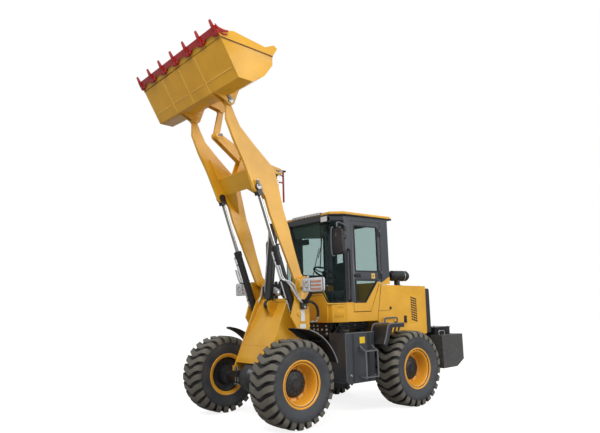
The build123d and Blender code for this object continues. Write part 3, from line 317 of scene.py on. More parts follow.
def enamel(name, colour, dust=(168, 150, 120), rough=0.34, dusty=0.14, coat=0.25):
    """Sprayed machine enamel: an orange peel bump, slow tone changes and dust towards the ground."""
    paint = Material(name)
    slow = paint.noise(2.2, 4)
    fine = paint.noise(38, 3)
    height = paint.axes()[2]
    base = rgb(*colour)
    shade = (*(part * tone for part, tone in zip(base, SHADE_TONE)), 1)
    light = (*(min(part * tone, 1) for part, tone in zip(base, LIGHT_TONE)), 1)
    tone = paint.mix(slow.ramp(0.3, 0.7, 0, 1), shade, light)
    low_down = height.ramp(0.2, 1.3, 1, 0.15)
    dust_mask = fine.ramp(0.45, 0.75, 0, 1) * low_down * dusty
    coloured = paint.mix(dust_mask, tone, rgb(*dust))
    peel = paint.bump(paint.noise(260, 2), 0.10, 0.0006)
    rough_map = fine.ramp(0.3, 0.7, rough - 0.05, rough + 0.08) + dust_mask * 0.5
    return paint.surface(
        Base_Color=coloured, Roughness=rough_map, Normal=peel, Coat_Weight=coat, Coat_Roughness=0.12
    )


yellow = enamel("machine_yellow", (229, 169, 36), rough=0.36)
rim_yellow = enamel("rim_yellow", (246, 172, 44), rough=0.32, dusty=0.2)
frame_black = enamel("frame_black", (31, 32, 35), dust=(112, 108, 100), rough=0.42, dusty=0.2)
cab_graphite = enamel("cab_graphite", (54, 58, 64), dust=(112, 114, 116), rough=0.36, dusty=0.08)
weight_grey = enamel("weight_grey", (66, 66, 66), dust=(132, 124, 110), rough=0.5, dusty=0.45)
tooth_red = enamel("tooth_red", (164, 17, 12), rough=0.36, dusty=0.04, coat=0.35)
panel_cream = enamel("panel_cream", (232, 190, 92), rough=0.34, dusty=0.1)


# %% Rubber, plastic and metal
def rubber(name, colour, grain=420, rough=0.78, dusty=0.35):
    """Rubber or matt plastic: a fine grain and pale dust in patches."""
    made = Material(name)
    speck = made.noise(grain, 2)
    cloud = made.noise(5, 5)
    dust_mask = cloud.ramp(0.45, 0.75, 0, dusty)
    return made.surface(
        Base_Color=made.mix(dust_mask, rgb(*colour), rgb(112, 106, 98)),
        Roughness=cloud.ramp(0.3, 0.7, rough - 0.1, rough + 0.08), Normal=made.bump(speck, 0.25, 0.0008),
    )


hose_rubber = rubber("hose_rubber", (24, 24, 26), 700, 0.55, 0.12)
seal_rubber = rubber("seal_rubber", (14, 14, 15), 600, 0.6, 0.08)
moulded = rubber("moulded_black", (30, 31, 33), 900, 0.5, 0.15)
dash_plastic = rubber("dash_plastic", (46, 48, 52), 800, 0.6, 0.05)


def metal(name, colour, rough, scratch=0.15, stretch=(1, 1, 1), metallic=1.0):
    """Bare metal: fine scratches along one direction, and roughness that follows them."""
    made = Material(name)
    stretched = made.node("Mapping", {}, {"Vector": made.place(), "Scale": stretch})
    lines = made.noise(180, 3, vector=stretched)
    return made.surface(
        Base_Color=made.mix(lines.ramp(0.3, 0.7, 0, 0.35), rgb(*colour), rgb(120, 120, 122)),
        Metallic=metallic, Roughness=lines.ramp(0.3, 0.7, rough, rough + scratch),
        Normal=made.bump(lines, 0.08, 0.0004),
    )


chrome_rod = metal("chrome_rod", (206, 205, 200), 0.16, 0.08, (1, 1, 0.1))
hose_silver = metal("hose_silver", (236, 238, 238), 0.30, 0.12, metallic=0.6)
bolt_steel = metal("bolt_steel", (176, 176, 172), 0.32, 0.15)
dark_steel = metal("dark_steel", (84, 84, 86), 0.42, 0.2)


# %% Glass and lamps
def window_glass():
    """Tinted cab glass: clear to the eye, greenish, with a mirror sheen that grows at the edges."""
    made = Material("window_glass")
    smear = made.noise(3.0, 4)
    clear = made.node("BsdfTransparent", {}, {"Color": rgb(226, 234, 233)})
    gloss = made.principled(Base_Color=rgb(86, 112, 108), Roughness=smear.ramp(0.35, 0.7, 0.02, 0.08))
    facing = made.node("Fresnel", {}, {"IOR": 1.5})
    outside = 1 - made.node("NewGeometry", output=6)
    share = facing.ramp(0.0, 1.0, 0.03, 0.9) * outside
    return made.output(made.node("MixShader", {}, [share, clear, gloss]))


cab_window = window_glass()


def lens(name, colour, ribs=160):
    """A moulded lamp lens: coloured plastic with fine upright ribs."""
    made = Material(name)
    x, y = made.axes()[:2]
    wave = made.node("Math", {"operation": "SINE"}, [(x + y) * ribs * 6.283])
    return made.surface(
        Base_Color=made.mix(made.noise(30).ramp(0.3, 0.7, 0, 0.3), rgb(*colour), rgb(90, 90, 90)),
        Roughness=made.noise(40).ramp(0.3, 0.7, 0.12, 0.25), Normal=made.bump(wave, 0.4, 0.001),
        Coat_Weight=0.6,
    )


clear_lens = lens("clear_lens", (226, 228, 226))
amber_lens = lens("amber_lens", (206, 140, 108))
tail_red = lens("tail_red", (150, 16, 14))
yellow_tag = enamel("yellow_tag", (246, 206, 20), rough=0.4, dusty=0.05)


def floor_paint():
    """A pale floor: a matt skin that takes the shadow, lifted to white for the camera alone."""
    made = Material("floor_paint")
    path = made.node("LightPath")
    spots = made.noise(1.5, 2)
    skin = made.principled(
        Base_Color=made.mix(spots, (0.38, 0.37, 0.36, 1), (0.42, 0.41, 0.40, 1)),
        Roughness=spots.ramp(0.3, 0.7, 0.9, 1.0), Specular_IOR_Level=0.0,
    )
    lift = made.node("Emission", {}, {"Strength": path * 0.84})
    return made.output(made.node("AddShader", {}, [skin, lift]))


floor.data.materials.append(floor_paint())


def add_world():
    """Soft grey light all round, and plain white where the camera sees the sky, straight or through glass.
    """
    scene.world = bpy.data.worlds.new("studio")
    sky = Material("studio", scene.world)
    camera_ray = sky.node("LightPath", output="Is Camera Ray")
    seen = camera_ray.math("MAXIMUM", sky.node("LightPath", output="Is Transmission Ray"))
    light = sky.node("Background", {}, [(0.92, 0.95, 1.0, 1), 0.55])
    white = sky.node("Background", {}, [(1, 1, 1, 1), 1.0])
    sky.output(sky.node("MixShader", {}, [seen, light, white]), "OutputWorld")


add_world()

# %% [markdown]
# ## Mesh helpers
#
# A shape is a pair: its points and its faces. Small functions make the kinds that a machine needs: a
# profile turned round an axis, an outline drawn out into a prism or a box, and a round section
# carried along a path. Left and right pieces share one set of numbers, which are given for the left.


# %% Shapes from arrays
def grid_faces(rows, columns, wrap_rows=False, wrap_columns=False, start=0):
    """Four-sided faces over a grid of points, wrapped round in either direction."""
    row = np.arange(rows if wrap_rows else rows - 1)
    column = np.arange(columns if wrap_columns else columns - 1)
    r, c = np.meshgrid(row, column, indexing="ij")
    r2, c2 = (r + 1) % rows, (c + 1) % columns
    corners = [r * columns + c, r2 * columns + c, r2 * columns + c2, r * columns + c2]
    return (np.stack(corners, axis=-1).reshape(-1, 4) + start).tolist()


def join(*shapes):
    """Several shapes as one: points are stacked and the faces' numbers moved up."""
    points, faces, count = [], [], 0
    for shape_points, shape_faces in shapes:
        points.append(np.asarray(shape_points, float).reshape(-1, 3))
        faces += [[index + count for index in face] for face in shape_faces]
        count += len(points[-1])
    return np.concatenate(points), faces


def on_axis(axis, along, first, second):
    """Points from a distance along an axis and two distances across it."""
    order = {"X": (along, first, second), "Y": (first, along, second), "Z": (first, second, along)}
    return np.stack(order[axis], axis=-1)


def full_turn(steps, start=0.0):
    """Angles once round, from a start."""
    return np.linspace(start, start + 2 * np.pi, steps, endpoint=False)


def turned(profile, centre, axis="Y", steps=64, side=1):
    """A profile of (radius, distance along the axis) turned once round an axis through a centre."""
    profile = np.asarray(profile, float)
    angle = full_turn(steps)[:, None]
    radius, along = profile[:, 0], side * profile[:, 1]
    first = radius * np.cos(angle)
    second = radius * np.sin(angle)
    along = np.broadcast_to(along, first.shape)
    points = on_axis(axis, along, first, second).reshape(-1, 3) + np.asarray(centre, float)
    return points, grid_faces(steps, len(profile), wrap_rows=True)


def frames_along(path):
    """A tangent and two directions across it at each point of a path, turned as little as possible."""
    path = np.asarray(path, float)
    tangent = np.gradient(path, axis=0)
    tangent /= norm(tangent, axis=1)[:, None]
    side = np.cross(tangent[0], (0.0, 0.0, 1.0))
    if norm(side) < 0.1:
        side = np.cross(tangent[0], (0.0, 1.0, 0.0))
    sides = []
    for direction in tangent:
        side = side - direction * np.dot(side, direction)
        side /= norm(side)
        sides.append(side.copy())
    sides = np.array(sides)
    return tangent, sides, np.cross(tangent, sides)


def smooth_path(points, steps=8):
    """A Catmull-Rom curve through points, with a number of steps for each span."""
    points = np.asarray(points, float)
    padded = np.vstack([2 * points[0] - points[1], points, 2 * points[-1] - points[-2]])
    share = np.linspace(0, 1, steps, endpoint=False)[:, None]
    spans = []
    for a, b, c, d in zip(padded, padded[1:], padded[2:], padded[3:]):
        bend = 2 * b + (c - a) * share + (2 * a - 5 * b + 4 * c - d) * share**2
        spans.append((bend + (3 * b - a - 3 * c + d) * share**3) / 2)
    return np.vstack([*spans, points[-1:]])


def tube(path, radius, sides=12, closed_ends=True):
    """A round section carried along a path. The radius may change along it."""
    path = np.asarray(path, float)
    tangent, across, up = frames_along(path)
    angle = full_turn(sides)
    radius = np.broadcast_to(np.asarray(radius, float), (len(path),))[:, None, None]
    ring = np.cos(angle)[None, :, None] * across[:, None] + np.sin(angle)[None, :, None] * up[:, None]
    points = (path[:, None] + ring * radius).reshape(-1, 3)
    faces = grid_faces(len(path), sides, wrap_columns=True)
    if closed_ends:
        faces.append(list(range(sides))[::-1])
        faces.append([len(points) - sides + k for k in range(sides)])
    return points, faces


def prism(outline, low_end, high_end, axis="Y"):
    """An outline of two-dimensional points drawn out along an axis, with both ends closed."""
    outline = np.asarray(outline, float)
    count = len(outline)
    layers = []
    for height in (low_end, high_end):
        layers.append(on_axis(axis, np.full(count, height), *outline.T))
    faces = grid_faces(2, count, wrap_columns=True)
    faces.append(list(range(count)))
    faces.append([2 * count - 1 - k for k in range(count)])
    return np.concatenate(layers), faces


def box_shape(low_corner, high_corner):
    """A box between two corners."""
    (x0, y0, z0), (x1, y1, z1) = low_corner, high_corner
    return prism([(x0, y0), (x1, y0), (x1, y1), (x0, y1)], z0, z1, "Z")


def rounded_box(low_corner, high_corner, corner, axis="X", steps=5):
    """A box whose outline, seen along an axis, has round corners."""
    low_corner, high_corner = np.asarray(low_corner, float), np.asarray(high_corner, float)
    index = "XYZ".index(axis)
    first, second = [k for k in range(3) if k != index]
    turn = np.linspace(0, np.pi / 2, steps)
    outline = []
    for quarter, (a, b) in enumerate(((1, 1), (0, 1), (0, 0), (1, 0))):
        centre_a = high_corner[first] - corner if a else low_corner[first] + corner
        centre_b = high_corner[second] - corner if b else low_corner[second] + corner
        for angle in turn + quarter * np.pi / 2:
            outline.append((centre_a + corner * np.cos(angle), centre_b + corner * np.sin(angle)))
    return prism(outline, low_corner[index], high_corner[index], axis)


def mirrored(points, side):
    """Points whose y is given for the left, set on the left or on the right."""
    return [(x, side * y, z) for x, y, z in points]


def bent(points, radius, side=1, steps=6, sides=10):
    """A bent pipe or hose through points whose y is given for the left."""
    return tube(smooth_path(mirrored(points, side), steps), radius, sides)


def side_box(low_corner, high_corner, side, corner=0.0, axis="X"):
    """A box given for the left and set on the left or on the right, with round corners if asked."""
    (x0, y0, z0), (x1, y1, z1) = low_corner, high_corner
    y0, y1 = sorted((side * y0, side * y1))
    if corner:
        return rounded_box((x0, y0, z0), (x1, y1, z1), corner, axis)
    return box_shape((x0, y0, z0), (x1, y1, z1))


def side_prism(outline, inner, outer, side):
    """An (x, z) outline drawn out between two distances from the middle, on the left or the right."""
    return prism(outline, *sorted((side * inner, side * outer)), "Y")


def disc_outline(radius, steps, centre):
    """Points round a circle in a plane."""
    angle = full_turn(steps)
    return np.stack([centre[0] + radius * np.cos(angle), centre[1] + radius * np.sin(angle)], axis=-1)


def bolt_heads(places, axis, radius=0.012, height=0.008, side=1):
    """Six-sided heads on thin washers, standing out from a face at each place."""
    shapes = []
    pick = {"X": (1, 2, 0), "Y": (0, 2, 1), "Z": (0, 1, 2)}[axis]
    for place in places:
        place = np.asarray(place, float)
        centre = (place[pick[0]], place[pick[1]])
        base = place[pick[2]]
        washer = disc_outline(radius * 1.35, 14, centre)
        head = disc_outline(radius, 6, centre)
        washer_top = base + side * height * 0.25
        shapes.append(prism(washer, *sorted((base, washer_top)), axis))
        shapes.append(prism(head, *sorted((washer_top, base + side * height)), axis))
    return join(*shapes)


# %% Pieces from shapes
SHARP_ANGLE, BEVEL_ANGLE, FLAT_ANGLE = math.radians(38), math.radians(35), math.radians(1.5)
SAME_POINT = 0.00002


def piece(name, shape, material, body, bevel=0.0, segments=2):
    """One finished object from a shape, with its normals turned outwards, riding on a body."""
    points, faces = shape
    mesh = bpy.data.meshes.new(name)
    mesh.from_pydata(np.asarray(points, float).tolist(), [], faces)
    work = bmesh.new()
    work.from_mesh(mesh)
    bmesh.ops.recalc_face_normals(work, faces=work.faces)
    work.to_mesh(mesh)
    work.free()
    return finish_piece(name, mesh, material, body, bevel, segments)


def finish_piece(name, mesh, material, body, bevel, segments):
    """Links a mesh as an object, shades it and rounds its sharp edges with a Bevel modifier."""
    made = bpy.data.objects.new(name, mesh)
    scene.collection.objects.link(made)
    made.data.materials.append(material)
    for polygon in mesh.polygons:
        polygon.use_smooth = True
    mesh.set_sharp_from_angle(angle=SHARP_ANGLE)
    if bevel:
        rounding = made.modifiers.new("rounding", "BEVEL")
        rounding.width = bevel
        rounding.segments = segments
        rounding.limit_method = "ANGLE"
        rounding.angle_limit = BEVEL_ANGLE
        rounding.harden_normals = False
        rounding.use_clamp_overlap = True
    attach(made, body)
    return made


def body_of(node):
    """The body that a CAD node rides on."""
    for body, members in frame["record"]["behaviour"]["bodies"].items():
        if node in members:
            return body
    raise KeyError(node)


def softened(node, material, bevel=0.003, segments=2):
    """A copy of a CAD node with its flat faces merged and its edges rounded, which replaces it."""
    mesh = nodes[node].data.copy()
    work = bmesh.new()
    work.from_mesh(mesh)
    bmesh.ops.remove_doubles(work, verts=work.verts, dist=SAME_POINT)
    bmesh.ops.dissolve_limit(
        work, angle_limit=FLAT_ANGLE, verts=work.verts, edges=work.edges, delimit={"NORMAL"}
    )
    work.to_mesh(mesh)
    work.free()
    mesh.materials.clear()
    made = finish_piece(f"{node}_dressed", mesh, material, body_of(node), bevel, segments)
    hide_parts(node)


# %% [markdown]
# ## Tyres
#
# A loader tyre is a deep chevron tread wrapped round a rounded carcass. The surface is one grid round
# the wheel and across the tyre: the groove's profile, raised to the lug's profile where a mask says
# that a chevron passes. The mask is a saw wave of the angle, delayed with distance from the middle.

# %% Tyre tread
LUGS = 25
half_width = (high("tyre_front_left")[1] - low("tyre_front_left")[1]) / 2
bead_radius = 0.262
lug_profile = wheel_radius - np.array([0.275, 0.207, 0.137, 0.082, 0.046, 0.020, 0.005, 0.001, 0.0])
lug_across = half_width - np.array([0.034, 0.014, 0.001, 0.001, 0.007, 0.022, 0.050, 0.100, half_width])
groove_profile = wheel_radius - np.array([0.275, 0.207, 0.137, 0.098, 0.080, 0.062, 0.048, 0.038, 0.034])
groove_across = half_width - np.array([0.034, 0.014, 0.001, 0.005, 0.016, 0.031, 0.060, 0.106, half_width])
tyre_middle = (high("tyre_front_left")[1] + low("tyre_front_left")[1]) / 2
SHOULDER_DROP, SHOULDER_RUN = 0.082, 0.018
STEPS_PER_LUG, LUG_SHARE, LUG_EDGE = 22, 0.64, 0.035
CHEVRON_LEAN, CHEVRON_ROUND = 0.92, 0.018
RING_DEPTH, RING_WIDTH, RING_RISE = 0.165, 0.006, 0.003


def tyre_skin():
    """Dusty lug tops, painted shade that darkens the grooves to near-black, and a smooth dark sidewall.

    Depth = wheel radius - distance from the axle - drop x exp(-gap / run), where gap is the distance
    in from the tyre's side. It is 0 on a lug's top and grows in a groove.
    """
    skin = Material("tyre_rubber")
    x, y, z = skin.axes()
    middle, half_base = (axle_x["front"] + axle_x["rear"]) / 2, (axle_x["front"] - axle_x["rear"]) / 2
    along = (x - middle).math("ABSOLUTE") - half_base
    up = z - wheel_radius
    reach = (along * along + up * up).math("SQRT")
    gap = half_width - (y.math("ABSOLUTE") - tyre_middle).math("ABSOLUTE")
    drop = (gap * (-1 / SHOULDER_RUN)).math("EXPONENT") * SHOULDER_DROP
    depth = wheel_radius - reach - drop
    cloud, speck = skin.noise(5, 5), skin.noise(300, 2)
    top = skin.mix(cloud.ramp(0.35, 0.7, 0, 0.7), rgb(96, 92, 83), rgb(122, 116, 102))
    # painted shade: the colour darkens with depth into the grooves, below the rubber's own tone
    tread = skin.mix(depth.ramp(0.006, 0.026, 0, 1), top, rgb(38, 37, 35))
    wall = skin.mix(cloud.ramp(0.45, 0.75, 0, 0.5), rgb(60, 62, 66), rgb(98, 96, 92))
    on_wall = reach.ramp(wheel_radius - 0.128, wheel_radius - 0.088, 1, 0)
    return skin.surface(
        Base_Color=skin.mix(on_wall, tread, wall), Roughness=cloud.ramp(0.3, 0.7, 0.50, 0.72),
        Normal=skin.bump(speck, 0.25, 0.0008),
    )


tyre_rubber = tyre_skin()


def tyre_shape(centre, side):
    """Radius = groove + mask x (lug - groove), on a grid of angle and place across the tyre."""
    steps = LUGS * STEPS_PER_LUG
    half_steps = 30
    key = np.linspace(0, 1, len(lug_profile))
    half = np.linspace(0, 1, half_steps) ** 0.9
    across_sign = np.concatenate([np.ones(half_steps), -np.ones(half_steps - 1)])
    share = np.concatenate([half, half[::-1][1:]])
    lug_r, lug_y = np.interp(share, key, lug_profile), np.interp(share, key, lug_across)
    groove_r, groove_y = np.interp(share, key, groove_profile), np.interp(share, key, groove_across)
    angle = full_turn(steps)[:, None]
    middle = np.abs(lug_y)[None, :]
    bend = np.sqrt(middle**2 + CHEVRON_ROUND**2)
    phase = LUGS * (angle - CHEVRON_LEAN * bend) / (2 * np.pi)
    saw = phase - np.floor(phase)
    edge = np.minimum(saw, LUG_SHARE - saw)
    mask = np.clip(edge / LUG_EDGE + 0.5, 0, 1)
    mask = mask * mask * (3 - 2 * mask)
    radius = groove_r + mask * (lug_r - groove_r)
    across = (groove_y + mask * (lug_y - groove_y)) * across_sign
    # a raised ring on each sidewall, as moulds leave
    ring = np.exp(-(((radius - wheel_radius + RING_DEPTH) / RING_WIDTH) ** 2))
    across = across + across_sign * ring * RING_RISE
    points = np.stack(
        [radius * np.cos(angle), side * across, radius * np.sin(angle)], axis=-1
    ).reshape(-1, 3)
    return points + np.asarray(centre), grid_faces(steps, len(share), wrap_rows=True)


def bead_shape(centre, side):
    """The tyre's hidden inside wall and its two beads against the rim."""
    profile = []
    for sign in (1, -1):
        ring = [
            (wheel_radius - 0.275, half_width - 0.034), (bead_radius, half_width - 0.036),
            (bead_radius, half_width - 0.062), (wheel_radius - 0.13, half_width - 0.050),
            (wheel_radius - 0.05, half_width - 0.080),
        ]
        ring = [(r, sign * y) for r, y in ring]
        profile += ring if sign > 0 else ring[::-1]
    return turned(profile, centre, "Y", 96, side)


wheel_middle = {}
for end in ENDS:
    for name, side in SIDES:
        node = f"tyre_{end}_{name}"
        middle = (low(node) + high(node)) / 2
        wheel_middle[end, name] = middle
        tyre = piece(
            f"tyre_tread_{end}_{name}", join(tyre_shape(middle, side), bead_shape(middle, side)),
            tyre_rubber, f"wheel_{end}_{name}",
        )
        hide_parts(node)
print("tyre triangles each:", 2 * len(tyre.data.polygons))

# %% [markdown]
# ## Rims and hubs
#
# The rim is a deep dish: a rolled flange, a lock ring in its groove, a long cone down to the disc and
# a raised seat where the wheel nuts stand. The hub in its middle is a dark casting with its own ring
# of small bolts. A black lining over the rim's inner side is painted shade.

# %% Rims
rim_profile = [
    (0.262, -0.150), (0.291, -0.176), (0.293, -0.186), (0.286, -0.191), (0.262, -0.188), (0.238, -0.172),
    (0.234, -0.060), (0.214, -0.016), (0.150, -0.016), (0.150, 0.016), (0.186, 0.016), (0.206, 0.024),
    (0.222, 0.052), (0.228, 0.100), (0.234, 0.150), (0.240, 0.168), (0.250, 0.172), (0.256, 0.166),
    (0.262, 0.168), (0.268, 0.182), (0.278, 0.191), (0.288, 0.191), (0.293, 0.186), (0.291, 0.176),
    (0.262, 0.150),
]
hub_profile = [
    (0.0, 0.077), (0.052, 0.077), (0.056, 0.070), (0.086, 0.069), (0.092, 0.064), (0.128, 0.062),
    (0.146, 0.056), (0.158, 0.046), (0.160, 0.034), (0.166, 0.030), (0.168, 0.018), (0.110, 0.017),
    (0.110, -0.012), (0.139, -0.014), (0.139, -0.190), (0.0, -0.190),
]
shade_lining_profile = [
    (0.2365, -0.160), (0.2250, -0.142), (0.1500, -0.130), (0.1405, -0.130), (0.1405, -0.124),
    (0.1500, -0.124), (0.2220, -0.134), (0.2355, -0.150), (0.2365, -0.160),
]


def ring_of_places(centre, radius, out, count, start=0.0):
    """Places round an axle, at a radius and a distance out from the wheel's middle."""
    turns = full_turn(count, start)
    return [centre + np.array([radius * math.cos(a), out, radius * math.sin(a)]) for a in turns]


for end in ENDS:
    for name, side in SIDES:
        centre = wheel_middle[end, name]
        body = f"wheel_{end}_{name}"
        rim = piece(
            f"rim_dish_{end}_{name}", turned(rim_profile + rim_profile[:1], centre, "Y", 96, side),
            rim_yellow, body,
        )
        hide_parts(f"rim_{end}_{name}")
        hub = piece(
            f"hub_casting_{end}_{name}", turned(hub_profile, centre, "Y", 72, side), moulded, body,
        )
        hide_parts(f"hub_{end}_{name}")
        # painted shade: a black lining over the rim's inner side, where the shade under the machine falls
        shade_lining = turned(shade_lining_profile, centre, "Y", 72, side)
        piece(f"wheel_shade_lining_{end}_{name}", shade_lining, frame_black, body)
        nut_ring = ring_of_places(centre, 0.190, side * 0.018, 10)
        cap_ring = ring_of_places(centre, 0.112, side * 0.063, 12, 0.2)
        valve = centre + np.array([0.222, side * 0.06, 0.0])
        piece(f"wheel_nuts_{end}_{name}", bolt_heads(nut_ring, "Y", 0.013, 0.020, side), rim_yellow, body)
        piece(f"hub_bolts_{end}_{name}", bolt_heads(cap_ring, "Y", 0.008, 0.007, side), dark_steel, body)
        stem = [valve, valve + (-0.012, side * 0.03, 0), valve + (-0.02, side * 0.062, 0)]
        piece(f"valve_stem_{end}_{name}", tube(stem, 0.005, 8), bolt_steel, body)

# %% [markdown]
# ## Welded steel
#
# The frames, boom and bucket are plates welded together. Each CAD solid gets its sharp corners
# rounded, and a rippled bead is laid along the joints that show.

# %% Plates and beads
YELLOW_STEEL = (
    "bucket", "bucket_link", "bell_crank", "boom_arm_left", "boom_arm_right", "boom_cross_member",
    "front_frame",
)
for node in YELLOW_STEEL:
    softened(node, yellow, 0.003)


RIPPLE_PITCH, RIPPLE_DEPTH, RIPPLE_STEP = 0.009, 0.14, 0.004


def bead(name, path, body, radius=0.005, material=yellow):
    """A weld bead: a thin tube along a path, with ripples every few millimetres."""
    path = np.asarray(path, float)
    spans = norm(np.diff(path, axis=0), axis=1)
    place = np.concatenate([[0], np.cumsum(spans)])
    run = np.linspace(0, place[-1], max(int(spans.sum() / RIPPLE_STEP), 4))
    line = np.stack([np.interp(run, place, path[:, k]) for k in range(3)], axis=-1)
    ripple = radius * (1 + RIPPLE_DEPTH * np.sin(run * 2 * np.pi / RIPPLE_PITCH))
    piece(name, tube(line, ripple, 7), material, body)


face_top = np.array([axle_x["front"] - 0.370, wheel_radius + 0.963])
face_foot = np.array([axle_x["front"] + 0.060, wheel_radius + 0.196])
FACE_HALF = 0.345
bead_top, bead_foot = (face_top[0] + 0.002, FACE_HALF, face_top[1]), (
    face_foot[0] + 0.002, FACE_HALF, face_foot[1]
)
for name, side in SIDES:
    bead(f"tower_bead_{name}", mirrored([bead_top, bead_foot], side), FRONT)
bead("tower_foot_bead", mirrored([bead_foot], -1) + [bead_foot], FRONT)
print("welded plates:", len(YELLOW_STEEL))

# %% [markdown]
# ## Bucket edge
#
# A dark red cutting edge is bolted under the bucket's lip. Its lower side is scalloped, with a lobe
# at each of the seven teeth, and each tooth is a narrow steel tongue on a fork. The sheet behind it
# has a groove along the corner, where a brown strip is a painted shadow, and thin beads where the
# ribs inside are welded, painted pale as a highlight.

# %% Cutting edge, teeth and bucket seams
TEETH = 7
LOBE_HALF, LOBE_EDGE, LOBE_DROP = 0.088, 0.009, 0.036


def beside_bucket(x, z):
    """A point in the side view, measured from the bucket's pin."""
    return np.array([bucket_pin[0] + x, bucket_pin[2] + z])


lip, corner, heel = beside_bucket(0.568, 0.627), beside_bucket(0.504, 0.518), beside_bucket(0.245, 0.065)
bucket_half = high("bucket")[1]
tooth_pitch = (2 * bucket_half - 0.078) / (TEETH - 1)
tooth_ys = (np.arange(TEETH) - (TEETH - 1) / 2) * tooth_pitch


def outside_of(start, end, run, out):
    """A point in the side view: a run from start towards end, and a distance out to the front."""
    way = (end - start) / norm(end - start)
    run, out = np.broadcast_arrays(np.asarray(run, float), np.asarray(out, float))
    return start + run[..., None] * way + out[..., None] * np.array([way[1], -way[0]])


def scalloped_edge():
    """Lower side = base - lobe x bump(distance to the nearest tooth), carried across the bucket."""
    y = np.linspace(-bucket_half, bucket_half, 421)
    away = np.abs(y[:, None] - tooth_ys[None, :]).min(axis=1)
    bump = 1 / (1 + np.exp((away - LOBE_HALF) / LOBE_EDGE))
    ripple = 0.006 * np.cos(away / 0.030 * np.pi) * bump
    lower = 0.062 - LOBE_DROP * bump + ripple
    upper = np.full_like(y, norm(lip - corner) + 0.010)
    runs = np.stack([lower, upper, upper, lower], axis=1)
    outs = np.broadcast_to([0.0006, 0.0006, 0.016, 0.020], runs.shape)
    flat = outside_of(corner, lip, runs, outs)
    points = np.stack([flat[..., 0], np.broadcast_to(y[:, None], runs.shape), flat[..., 1]], axis=-1)
    faces = grid_faces(len(y), 4, wrap_columns=True)
    faces += [[3, 2, 1, 0], [len(y) * 4 - 4 + k for k in range(4)]]
    return points.reshape(-1, 3), faces


made = piece("cutting_edge", scalloped_edge(), tooth_red, "bucket", 0.002)
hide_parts("tooth_bar")
tongue = outside_of(
    corner, lip, [0.040, 0.085, 0.130, 0.213, 0.222, 0.212, 0.128, 0.040],
    [0.018, 0.040, 0.038, 0.028, 0.021, 0.013, 0.002, 0.002],
)
shoe = outside_of(
    corner, lip, [0.012, 0.024, 0.090, 0.104, 0.104, 0.012], [0.018, 0.030, 0.034, 0.026, 0.016, 0.016]
)
inner_leg = outside_of(corner, lip, [0.140, 0.140, 0.020, 0.020], [-0.002, -0.024, -0.030, -0.022])
bolt_profile = [(0.0, 0.016), (0.009, 0.014), (0.014, 0.006), (0.015, -0.004)]
for number, y in enumerate(tooth_ys, 1):
    shapes = [prism(tongue, y - 0.017, y + 0.017), prism(shoe, y - 0.030, y + 0.030)]
    if abs(y) < 0.9:
        shapes.append(prism(inner_leg, y - 0.024, y + 0.024))
    piece(f"tooth_{number}", join(*shapes), tooth_red, "bucket", 0.003)
    bolts = []
    for run, across in ((0.042, -0.060), (0.042, 0.060), (0.030, 0.0)):
        x, z = outside_of(corner, lip, run, 0.0195)
        if abs(y + across) < bucket_half - 0.012:
            bolts.append(turned(bolt_profile, (x, y + across, z), "X", 12))
    piece(f"tooth_bolts_{number}", join(*bolts), tooth_red, "bucket")
fork_outer = [
    beside_bucket(*p)
    for p in (
        (0.586, 0.650), (0.560, 0.598), (0.474, 0.572), (0.402, 0.590), (0.396, 0.612), (0.480, 0.604),
        (0.540, 0.622),
    )
]
fork_lower = [
    beside_bucket(*p)
    for p in (
        (0.548, 0.600), (0.528, 0.560), (0.470, 0.532), (0.412, 0.548), (0.408, 0.566), (0.470, 0.556),
        (0.520, 0.584),
    )
]
for name, side in SIDES:
    forks = [
        side_prism(fork, bucket_half + 0.0004, bucket_half + 0.012, side)
        for fork in (fork_outer, fork_lower)
    ]
    piece(f"side_fork_{name}", join(*forks), tooth_red, "bucket", 0.003)

# painted shadow: a brown strip below the corner and along each side, where the edge plate's step shades the
# sheet
seam_grime = enamel("seam_grime", (108, 68, 20), rough=0.55, dusty=0.0, coat=0.0)
side_step = beside_bucket(-0.267, 0.467)
groove = outside_of(corner, heel, [0.003, 0.017, 0.017, 0.003], [0.0, 0.0, 0.0012, 0.0012])
groove_end = bucket_half - 0.02
piece("bucket_groove", prism(groove, -groove_end, groove_end), seam_grime, "bucket")
band_line = [corner, side_step, side_step - (0, 0.012), corner - (0.008, 0.014)]
for name, side in SIDES:
    band = side_prism(band_line, bucket_half - 0.004, bucket_half + 0.0008, side)
    piece(f"side_groove_{name}", band, seam_grime, "bucket")
# painted highlight: a paler yellow for the lit crowns of the beads on the bucket and of the cab's waist fold
weld_yellow = enamel("weld_yellow", (240, 192, 84), rough=0.4, dusty=0.0)
for index, y in enumerate((-0.500, -0.020, 0.410)):
    ends = outside_of(corner, heel, [0.020, 0.515], 0.001)
    bead(f"rib_bead_{index}", [(x, y, z) for x, z in ends], "bucket", 0.0058, weld_yellow)
x, z = outside_of(corner, heel, 0.382, 0.001)
for index, (y0, y1) in enumerate(((-1.03, -0.56), (-0.47, -0.08), (0.02, 0.35), (0.45, 1.03))):
    bead(f"cross_bead_{index}", [(x, y0, z), (x, y1, z)], "bucket", 0.0058, weld_yellow)
print("teeth at", np.round(tooth_ys, 3))

# %% [markdown]
# ## Gussets under the boom's cross member
#
# A three-cornered plate ties the cross member's lower edge to the inside of each arm.

# %% Gusset plates
arm_inside = high("boom_cross_member")[1]
cross_corner = np.array([foot[0] + 0.654, arm_inside, foot[2] + 1.276])
gusset_reach = np.array([0, -0.300, 0])
gusset_drop = np.array([-0.235, 0, -0.255])
gusset_skin = np.array([-0.0088, 0, 0.0081])
for name, side in SIDES:
    corners = np.array([cross_corner, cross_corner + gusset_reach, cross_corner + gusset_drop])
    both_faces = np.concatenate([corners, corners + gusset_skin]) * (1, side, 1)
    faces = [[0, 1, 2], [5, 4, 3], [0, 3, 4, 1], [1, 4, 5, 2], [2, 5, 3, 0]]
    piece(f"boom_gusset_{name}", (both_faces, faces), yellow, "boom", 0.002)
print("gussets stand inside the arms at y", round(arm_inside, 3))
